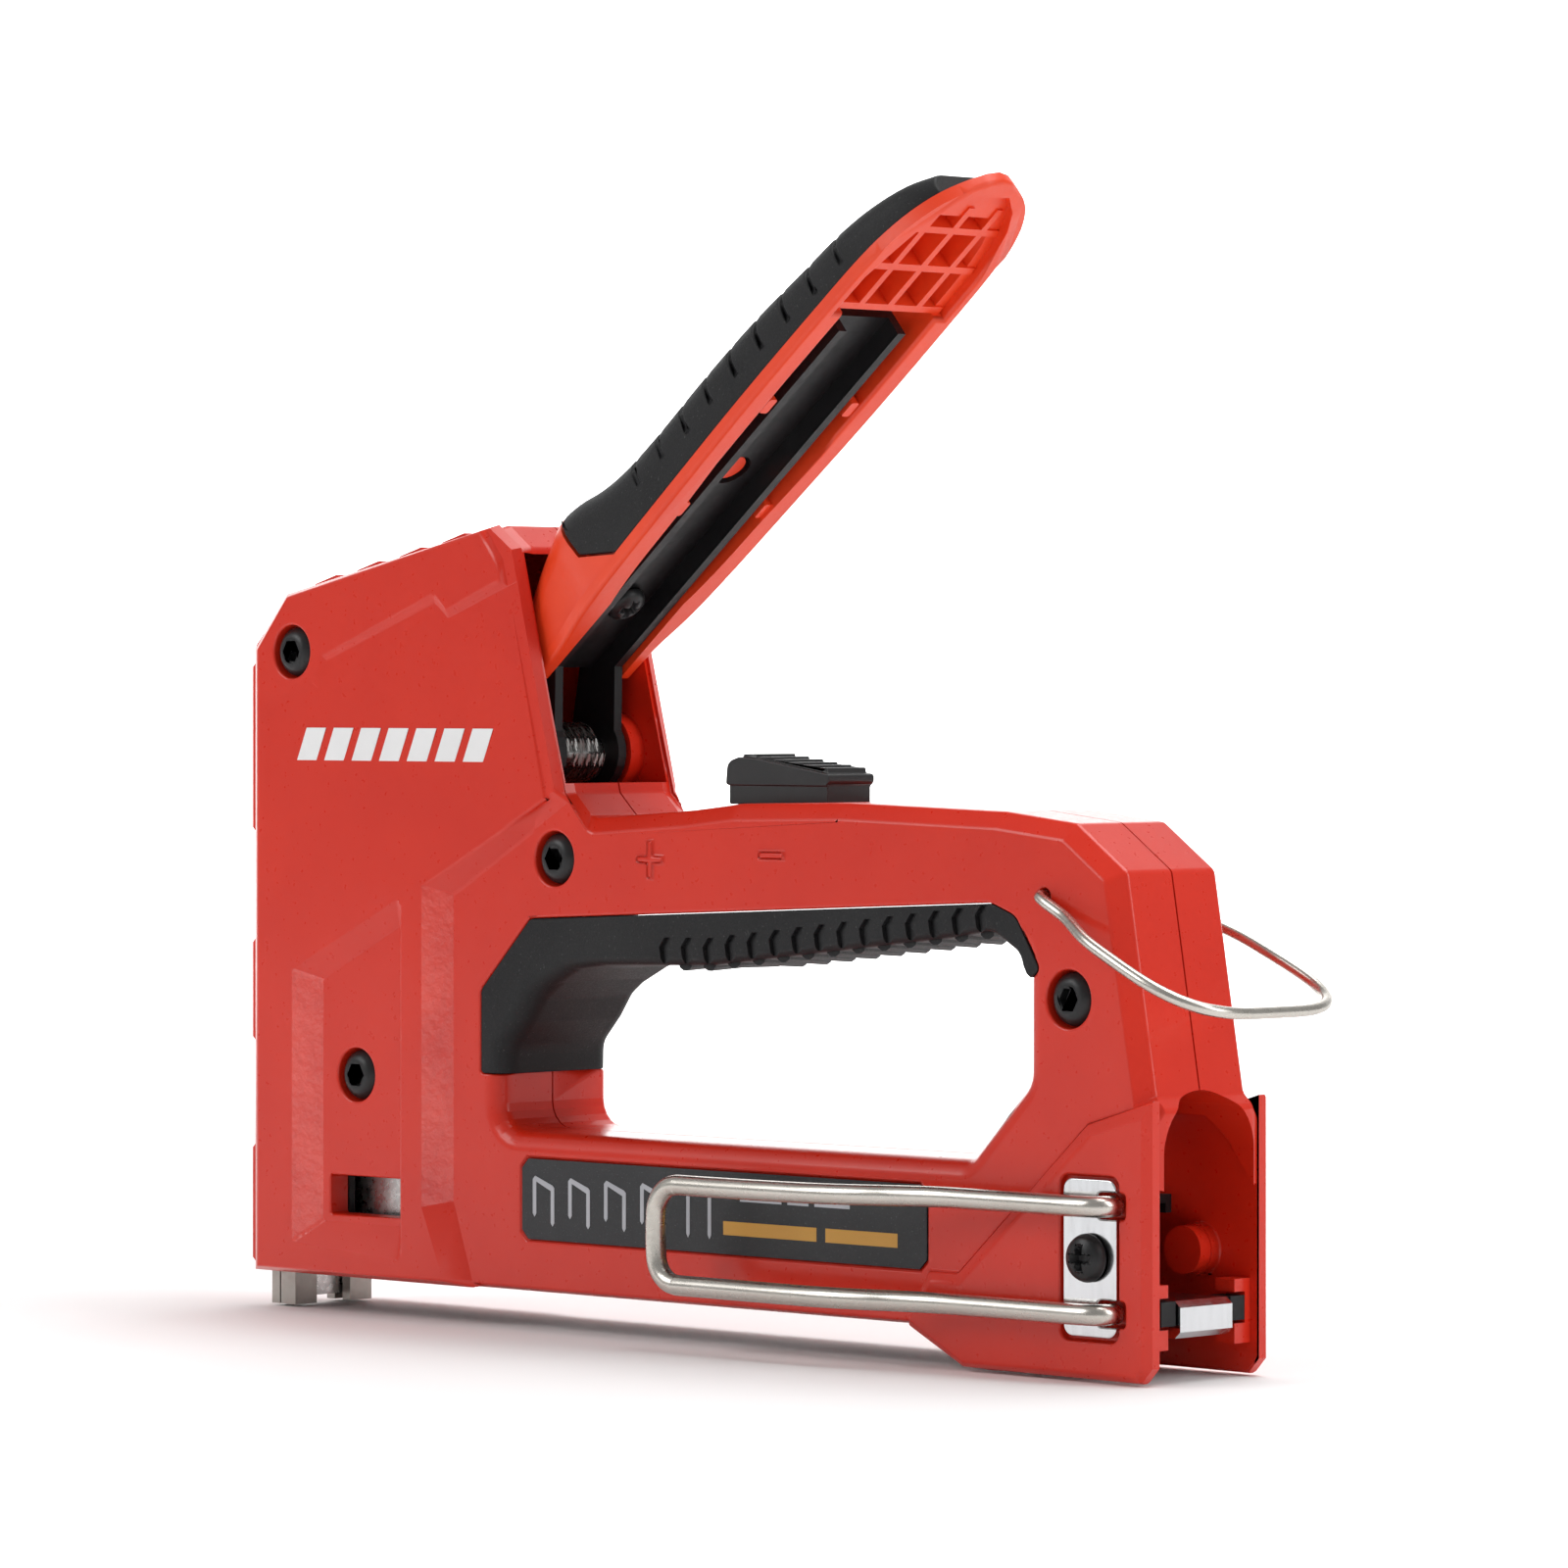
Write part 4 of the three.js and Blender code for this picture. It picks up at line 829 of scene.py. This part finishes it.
def hex_nut(x, z):
    hexagon = plate(circle(x, z, NUT_RADIUS, 6), NUT_FACE, NUT_FACE + 3)
    dome = lathe(rounded_profile([(NUT_FACE - 0.05, 0.01), (NUT_FACE - 0.05, 3.5), (NUT_FACE + 0.5, 4.05),
                                  (NUT_FACE + 2.5, 4.05), (NUT_FACE + 3.05, 3.5),
                                  (NUT_FACE + 3.05, 0.01)], 0.2),
                 "y", (x, z))
    nut = combine(hexagon, ("INTERSECT", dome))
    return cut(nut, lathe([(NUT_FACE - 1, 1.95), (NUT_FACE + 4, 1.95)], "y", (x, z), 28))


for name, (x, z, face) in SCREWS.items():
    piece("screw_" + name, housing_screw(x, z, face), "housing", black_screw,
          ["housing_screw_" + name], edge=0.15, segments=2)
    piece("nut_" + name, hex_nut(x, z), "housing", black_screw, ["housing_nut_" + name],
          edge=0.12,
          segments=2)


def cross_drive(x, z, depth_from, depth_to):
    """Cross recess along Y that narrows as it goes in."""
    tools = []
    for turn in (0, math.pi / 2):
        c, s = math.cos(turn), math.sin(turn)
        rings = []
        for y, reach, width in ((depth_from, 2.0, 0.62), (depth_to, 1.0, 0.4)):
            corners = rect(-reach, reach, -width, width)
            rings.append([(x + a * c - b * s, y, z + a * s + b * c) for a, b in corners])
        tools.append(loft(rings))
    return tools


def clip_screw():
    crown = -(HEEL_HALF + 2.5)
    profile = rounded_profile([
        (crown, 0.01), (crown, 1.6), (crown + 0.7, 3.0), (crown + 1.7, 3.4), (crown + 2.2, 3.4),
        (crown + 2.2, 1.4),
        (-6, 1.4), (-6, 0.01)], 0.6)
    return cut(lathe(profile, "y", (CLIP_X, CLIP_Z)),
               *cross_drive(CLIP_X, CLIP_Z, crown - 0.3, crown + 1.5))


piece("clip_fixing_screw", clip_screw(), "housing", black_screw, ["clip_screw"],
      edge=0.12, segments=2)


# ---------- belt clip and its plate ----------
def clip_plate():
    y = -HEEL_HALF
    body = plate(rounded(rect(CLIP_X - 5, CLIP_X + 4.8, CLIP_Z - 11, CLIP_Z + 10.9), 1.6), y, y + 1)
    tools = [lathe([(y - 3, 1.8), (y + 3, 1.8)], "y", (CLIP_X, CLIP_Z), 28)]
    for z in CLIP_LEGS:
        tools.append(plate(rounded(rect(CLIP_X + 1.2, CLIP_X + 6.5, z - 1.85, z + 1.85),
                                   [0.9, 0.1, 0.1, 0.9]), y - 3, y + 3))
    body = cut(body, *tools)
    return body


def clip_path():
    y = -HEEL_HALF
    top, low = CLIP_LEGS

    def leg(z, dz):
        return [
            (CLIP_X + 3.6, y + 1.4, z), (CLIP_X + 3.95, y - 0.5, z), (CLIP_X + 3.1, y - 2.2, z),
            (CLIP_X, y - 2.9, z),
            (CLIP_X - 6, y - 3, z), (CLIP_X - 16, y - 3.1, z), (CLIP_X - 26, y - 3.4, z),
            (CLIP_X - 32, y - 4.6, z + dz * 0.2),
            (CLIP_X - 38, y - 6.4, z + dz * 0.4), (CLIP_X - 44, y - 7.5, z + dz * 0.6),
            (CLIP_X - 52, y - 7.8, z + dz * 0.8),
            (CLIP_X - 66, y - 7.8, z + dz), (CLIP_X - 72.6, y - 7.8, z + dz),
        ]

    end = CLIP_X - 77.2
    corners = []
    for cz, a0, a1 in ((top - 0.4 - 4.4, 90, 180), (low + 4.4, 180, 270)):
        for k in range(5):
            a = math.radians(a0 + (a1 - a0) * k / 4)
            corners.append((end + 4.4 + 4.4 * math.cos(a), y - 7.8, cz + 4.4 * math.sin(a)))
    return smooth_path(leg(top, -0.4) + corners + leg(low, 0)[::-1], 5)


piece("clip_plate_steel", clip_plate(), "housing", chrome_plate, ["clip_plate"],
      edge=0.25)
piece("belt_clip_wire", wire(clip_path(), CLIP_WIRE, 20), "housing", nickel_wire,
      ["belt_clip"], flat_angle=0)


# ---------- wire bail ----------
def bail_path():
    half = [(0, 10.2), (0, 12.2), (1.6, 12.9), (6, 13.4), (13, 16), (17, 16.6), (28, 16.6), (33, 14.2),
            (35.4, 9.6)]
    near = [(r, -y, 0) for r, y in half]
    far = [(r, y, 0) for r, y in reversed(half)]
    return smooth_path(near + [(36, 0, 0)] + far, 8)


piece("bail_wire", wire(bail_path(), BAIL_WIRE, 16), "bail", nickel_wire, ["lock_bail"],
      matrix=BAIL,
      flat_angle=0)


# ---------- labels and printed marks ----------
def label_mesh(side):
    face = side * (GRIP_HALF - 0.1)
    return plate(rounded(label_outline(0), 0.25, 2), side * (GRIP_HALF - 0.5), face)


def staple_mark(x, z, height, skew, thick=0.75, width=4.6):
    """Outline of one staple seen a little from the side."""
    return [
        (x, z), (x + thick * 0.5, z - 0.5), (x + thick, z), (x + thick, z + height - thick * 1.1),
        (x + width - thick, z + height - skew - thick * 1.1), (x + width - thick, z - skew),
        (x + width - thick * 0.5, z - skew - 0.5), (x + width, z - skew),
        (x + width, z + height - skew - 0.35),
        (x + width - 0.4, z + height - skew), (x + 0.5, z + height), (x, z + height - 0.5),
    ]


def printed(name, outlines, y0, y1, material, slot):
    """Thin printed shapes, one object for a colour."""
    verts, faces = [], []
    for outline in outlines:
        start = len(verts)
        count = len(outline)
        verts += [(x, y0, z) for x, z in outline] + [(x, y1, z) for x, z in outline]
        faces.append(tuple(range(start, start + count)))
        faces.append(tuple(range(start + count, start + 2 * count)))
        for k in range(count):
            j = (k + 1) % count
            faces.append((start + k, start + j, start + count + j, start + count + k))
    piece(name, mesh_of(verts, faces), "housing", material, flat_angle=0)


for side, name in ((-1, "left"), (1, "right")):
    piece(name + "_sticker", label_mesh(side), "housing", black_sticker,
          [name + "_label"])
    ink = (side * (GRIP_HALF - 0.11), side * (GRIP_HALF - 0.06))
    marks = [staple_mark(64.6 + 7.6 * i, 17.3, 5.6, 1.3) for i in range(4)]
    for i in range(2):
        x = 97 + 4.4 * i
        marks.append([(x, 16), (x + 0.35, 15.4), (x + 0.7, 16), (x + 0.7, 21.8), (x, 22)])
    for x0, x1 in ((108, 116.4), (117.6, 121.8), (123, 130)):
        marks.append(rect(x0, x1, 21.2, 21.9))
    printed(name + "_silver_marks", marks, *ink, silver_ink, "black_sticker")
    printed(name + "_amber_marks", [rect(104.6, 123.4, 16.2, 18.2), rect(125.2, 139.4, 16.2, 18.2)], *ink,
            amber_ink,
            "black_sticker")
    stripe = [[(14 + 6.2 * i, 84.6), (18.4 + 6.2 * i, 84.6), (20.6 + 6.2 * i, 89.6),
               (16.2 + 6.2 * i, 89.6)]
              for i in range(7)]
    depth = HEAD_HALF + 0.1 - STEP_DEPTH * (87.1 - 60) / 50
    printed(name + "_head_stripe", stripe, side * (depth - 0.02), side * (depth + 0.06), white_ink,
            "red_paint")


# ---------- handle: u along it, n away from its rim ----------
STATIONS = [
    (23.5, 10.2, 22), (28, 11.4, 22.6), (33, 12.1, 21.6), (38, 12.5, 19.9), (43, 12.7, 18.9),
    (52, 13, 18.2),
    (66, 13.4, 18), (79, 13.5, 17.5), (91, 13.3, 16.4), (100, 13.1, 15.6), (106.5, 12.3, 14.6),
    (112, 10.6, 13.4),
    (116, 7.9, 12),
]
COVER_ROOT = [(10, 9.8, 15), (17, 10, 19.4)]
CROWN_END = (114.4, 9, 12.6)
RIM_HALF = [
    (10, 9.8), (17, 10.2), (24, 11.6), (32, 12.4), (54, 13.3), (72, 13.8), (92, 13.7), (102, 13.4),
    (107, 12.7),
    (112, 11.1), (116, 8.6), (118.8, 5.4), (120.7, 2.2),
]
TIP_OPENING = [(92, 11.6), (100, 11.4), (106, 10.4), (111, 8.9), (115, 6.7), (118, 3.5)]
WEB, WEB_WALL = 10.0, 1.6
HANDLE_SCREW = 24          # along the handle
GROOVES, GROOVE_START, GROOVE_PITCH = 9, 46.6, 6.45


def refined(stations, per_span=4):
    """Stations with smooth ones in between."""
    return [tuple(p) for p in smooth_path(stations, per_span)]


def section(u, half, top, base, d, steps=6):
    """Arched section of the handle at u, moved inwards by d, standing on a level base."""
    w, h = half - d, top - d
    r = max(0.8, min(6.2 - d * 0.6, (top - RIM) * 0.5, w * 0.6))
    points = [(u, -w, base), (u, w, base)]
    for k in range(steps + 1):
        a = k / steps * math.pi / 2
        points.append((u, w - r + r * math.cos(a), h - r + r * math.sin(a)))
    for k in range(steps + 1):
        a = math.pi / 2 + k / steps * math.pi / 2
        points.append((u, -w + r + r * math.cos(a), h - r + r * math.sin(a)))
    return points


def handle_skin(base, d, stations):
    return loft([section(u, half, top, base, d) for u, half, top in stations])


def rim_outline():
    right = [(u, half) for u, half, _ in refined([(u, half, 0) for u, half in RIM_HALF])]
    left = [(u, -half) for u, half in right]
    return left + [(121.2, 0)] + right[::-1]


def cover_mesh():
    rim = slab(rim_outline(), RIM, RIM + RIM_HEIGHT)
    crown = handle_skin(RIM + 0.4, RUBBER + 0.3, refined(STATIONS[:-1] + [CROWN_END]))
    cheek = combine(handle_skin(RIM + 0.4, 0, refined(COVER_ROOT + STATIONS[:5])), (
        "INTERSECT", plate([(5, 5), (36.4, 5), (36.4, 8.2), (29.7, 13.2), (28, 24), (5, 24)], -20, 20)))
    hollow = handle_skin(RIM - 3, RUBBER + 0.3 + COVER_WALL, refined(STATIONS[:-1]))
    mouth = slab(rounded(rect(-2, 34, -7.6, 7.6), 1), RIM - 2, 14.6)

    def rib(u0, u1, y0, y1):
        return slab(rect(u0, u1, y0, y1), RIM + 1.4, 30)

    ribs = [rib(93, 114, y - 0.6, y + 0.6) for y in (-6, 0, 6)]
    ribs += [rib(u, u + 1.3, -14, 14) for u in (92, 100.5, 108.5)]
    ribs.append(lathe([(WEB + WEB_WALL + 0.4, 3.2), (30, 3.2)], "z", (HANDLE_SCREW, 0)))
    ribs.append(lathe([(WEB + 0.5, 2.4), (30, 2.4)], "z", (53.8, 0)))
    extras = combine(joined(ribs[0], *ribs[1:]), ("INTERSECT", crown.copy()))
    tip = [(u, -y) for u, y in TIP_OPENING] + TIP_OPENING[::-1]
    base = cut(joined(rim, crown, cheek), hollow, mouth, slab(tip, RIM - 2, RIM + RIM_HEIGHT - 0.2))
    tabs = [slab(rounded(rect(u, u + 3, side * 8.6 - 0.8, side * 8.6 + 0.8), 0.4, 3), RIM + 0.5,
                 RIM + 2.6)
            for u in (47, 70) for side in (-1, 1)]
    whole = joined(base, extras, *tabs)
    return cut(whole, lathe([(8, 1.5), (19, 1.5)], "z", (HANDLE_SCREW, 0), 24))


def cover_edge(middle):
    """The rim's outer edge is round, its inner edges and the ribs are crisp."""
    outer = abs(middle.y) > 9.4 and middle.x < 104 or middle.x > 118.5
    return 0.7 if middle.z < RIM + 0.1 and outer else 0.0


def grip_mesh():
    outer = handle_skin(RIM + RIM_HEIGHT + 0.15, 0, refined(STATIONS))
    inner = handle_skin(RIM - 2, RUBBER, refined(STATIONS[:-1] + [CROWN_END]))
    front = plate([(5, 5), (36.8, 5), (36.8, 8.4), (30.1, 13.4), (28.4, 25), (5, 25)], -20, 20)
    tools = [inner, front]
    for i in range(GROOVES):
        u = GROOVE_START + i * GROOVE_PITCH
        half, top = 13.3, 18.1 - max(0.0, u - 66) * 0.062
        band = [(-16, top + 4), (-16, top - 6.4), (-half + 0.1, top - 6.4), (-half + 1.0, top - 5.2),
                (-half + 1.3, top - 3),
                (-half + 3.2, top - 1.4), (-half + 6, top - 0.75), (half - 6, top - 0.75),
                (half - 3.2, top - 1.4),
                (half - 1.3, top - 3), (half - 1.0, top - 5.2), (half - 0.1, top - 6.4), (16, top - 6.4),
                (16, top + 4)]
        tools.append(loft([[(u, y, n) for y, n in band], [(u + 0.9, y, n) for y, n in band]]))
    return cut(outer, *tools)


def handle_screw():
    crown = WEB - 2.3
    profile = rounded_profile([
        (crown, 0.01), (crown, 1.7), (crown + 0.8, 3.0), (crown + 2, 3.2), (crown + 2, 1.4), (18.2, 1.4),
        (18.2, 0.01)],
        0.5)
    tools = [moved(tool, Y_TO_Z) for tool in cross_drive(HANDLE_SCREW, 0, 0.3 - crown, -crown - 1.5)]
    return cut(lathe(profile, "z", (HANDLE_SCREW, 0)), *tools)


piece("handle_cover_shell", cover_mesh(), "handle", red_plastic, ["handle_cover"],
      matrix=HANDLE,
      edge=0.7, rule=cover_edge)
piece("handle_rubber", grip_mesh(), "handle", black_rubber, ["handle_grip"],
      matrix=HANDLE, edge=0.3)
piece("handle_fixing_screw", handle_screw(), "handle", black_screw, ["handle_screw"],
      matrix=HANDLE,
      edge=0.12, segments=2)


# ---------- power knob ----------
def knob_mesh():
    top, x0, x1, half = 79.3, 98.5, 119.5, 4.8
    foot = block(x0 + 2.5, x1 - 2.5, -2.9, 2.9, 72.3, top + 1)
    neck = plate(rounded(rect(x0 + 0.5, x1 - 0.5, top - 0.6, top + 2.6), 0.3), 0.3 - half, half - 0.3)
    cap = [(x0, top + 2.2), (x1 - 0.6, top + 2.2), (x1, top + 2.8), (x1, top + 3.9), (x0 + 6, top + 6.1),
           (x0 + 2.6, top + 6.3), (x0 + 0.3, top + 5.6)]
    body = joined(neck, foot, plate(rounded(cap, [0.4, 0.4, 0.6, 0.7, 3, 1.6, 1.6]), -half, half))
    teeth = [(x0 + 2.6, top + 3.2)]
    for i in range(6):
        x = x0 + 3.0 + 2.85 * i
        z = top + 6.85 - 0.38 * i
        teeth += [(x, z - 0.1), (x + 2.7, z - 0.08), (x + 2.84, z - 0.75)]
    teeth.append((x1 - 0.6, top + 2.8))
    return joined(body, plate(teeth[::-1], 0.7 - half, half - 0.7))


piece("power_knob_cap", knob_mesh(), "power_slider", black_plastic, ["power_knob"],
      edge=0.15,
      segments=2)

# ---------- CAD pieces that keep their shape ----------
KEPT = {
    "lever_channel": (black_steel, 0.35), "lever_roller": (bright_steel, 0.2),
    "lever_pivot_pin": (bright_steel, 0.3),
    "lever_return_spring": (spring_steel, 0), "main_spring": (spring_steel, 0),
    "pusher_spring": (spring_steel, 0),
    "spring_seat": (bright_steel, 0.2), "bumper": (bumper_rubber, 0.5),
    "detent_spring": (spring_steel, 0.08),
    "striker_plunger": (bright_steel, 0.3), "striker_blade": (bright_steel, 0.1),
    "power_link": (bright_steel, 0.15),
    "nose_front_plate": (nose_steel, 0.25), "nose_guide_block": (nose_steel, 0.25),
    "magazine_channel": (black_steel, 0.2),
    "core_rail": (black_steel, 0.15), "magazine_latch": (chrome_plate, 0.5),
    "latch_plate": (black_steel, 0.2),
    "guide_rod": (bright_steel, 0.2), "pusher": (bright_steel, 0.2),
}
for name, (material, edge) in KEPT.items():
    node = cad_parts[name]
    node.data.materials.clear()
    node.data.materials.append(material)
    if edge:
        bevel = node.modifiers.new("rounded edges", "BEVEL")
        bevel.limit_method = "ANGLE"
        bevel.angle_limit = math.radians(35)
        bevel.width = edge * MM
        bevel.segments = 3
    else:
        smoother = node.modifiers.new("round wire", "SUBSURF")
        smoother.levels = 1
        smoother.render_levels = 1


# ---------- studio ----------
CAMERA_PLACE = Vector((835.1, -749.9, 96))
CAMERA_AIM = Vector((-0.6972, 0.7169, 0))
CAMERA_LENS = 164.0
CAMERA_SHIFT = -0.0625     # keeps the level camera's horizon above the middle of the picture


def floor():
    """Pale floor that curves up into the backdrop behind the object."""
    profile = [(-3.0, 0.0), (1.4, 0.0)]
    for k in range(1, 13):
        a = k / 12 * math.pi / 2
        profile.append((1.4 + 1.2 * math.sin(a), 1.2 - 1.2 * math.cos(a)))
    profile.append((2.6, 4.0))
    towards = Vector((-0.697, 0.717, 0))
    across = Vector((0.717, 0.697, 0))
    verts, faces = [], []
    for d, z in profile:
        for s in (-4.0, 4.0):
            verts.append(towards * d + across * s + Vector((0, 0, z - 0.0004)))
    for i in range(len(profile) - 1):
        faces.append((2 * i, 2 * i + 1, 2 * i + 3, 2 * i + 2))
    mesh = mesh_of(verts, faces)
    mesh.shade_smooth()
    obj = bpy.data.objects.new("floor", mesh)
    bpy.context.scene.collection.objects.link(obj)
    mesh.materials.append(finish("floor_paper", (0.93, 0.93, 0.93), (0.9, 0.9, 0.9), (0.75, 0.9),
                                 blotch=3.0,
                                 grain=(40.0, 0.02, 0.001), specular=0.1))


def softbox(name, place, target, size, power):
    data = bpy.data.lights.new(name, "AREA")
    data.shape = "RECTANGLE"
    data.size, data.size_y = size
    data.energy = power
    obj = bpy.data.objects.new(name, data)
    obj.location = place
    obj.rotation_euler = (Vector(target) - Vector(place)).to_track_quat("-Z", "Y").to_euler()
    bpy.context.scene.collection.objects.link(obj)


def studio():
    scene = bpy.context.scene
    world = bpy.data.worlds.new("studio")
    world.use_nodes = True
    background = world.node_tree.nodes["Background"]
    background.inputs["Color"].default_value = (1.0, 1.0, 1.0, 1)
    background.inputs["Strength"].default_value = 0.35
    scene.world = world
    centre = (0, 0, 0.08)
    softbox("key", (-0.7, -1.1, 0.9), centre, (0.8, 0.8), 8)
    softbox("rim", (1.4, 0.3, 0.8), centre, (0.4, 1.2), 7)
    softbox("top", (0.2, 0.4, 1.5), centre, (1.4, 0.9), 16)
    softbox("backdrop", (-0.7, 0.8, 1.2), (-1.7, 1.9, 0.3), (2.0, 0.8), 60)
    scene.view_settings.view_transform = "Standard"
    data = bpy.data.cameras.new("camera")
    data.lens = CAMERA_LENS
    data.sensor_width = 36.0
    data.shift_y = CAMERA_SHIFT
    data.clip_end = 50
    camera = bpy.data.objects.new("camera", data)
    camera.location = PLACE @ CAMERA_PLACE
    camera.rotation_euler = CAMERA_AIM.to_track_quat("-Z", "Y").to_euler()
    scene.collection.objects.link(camera)
    scene.camera = camera


floor()
studio()
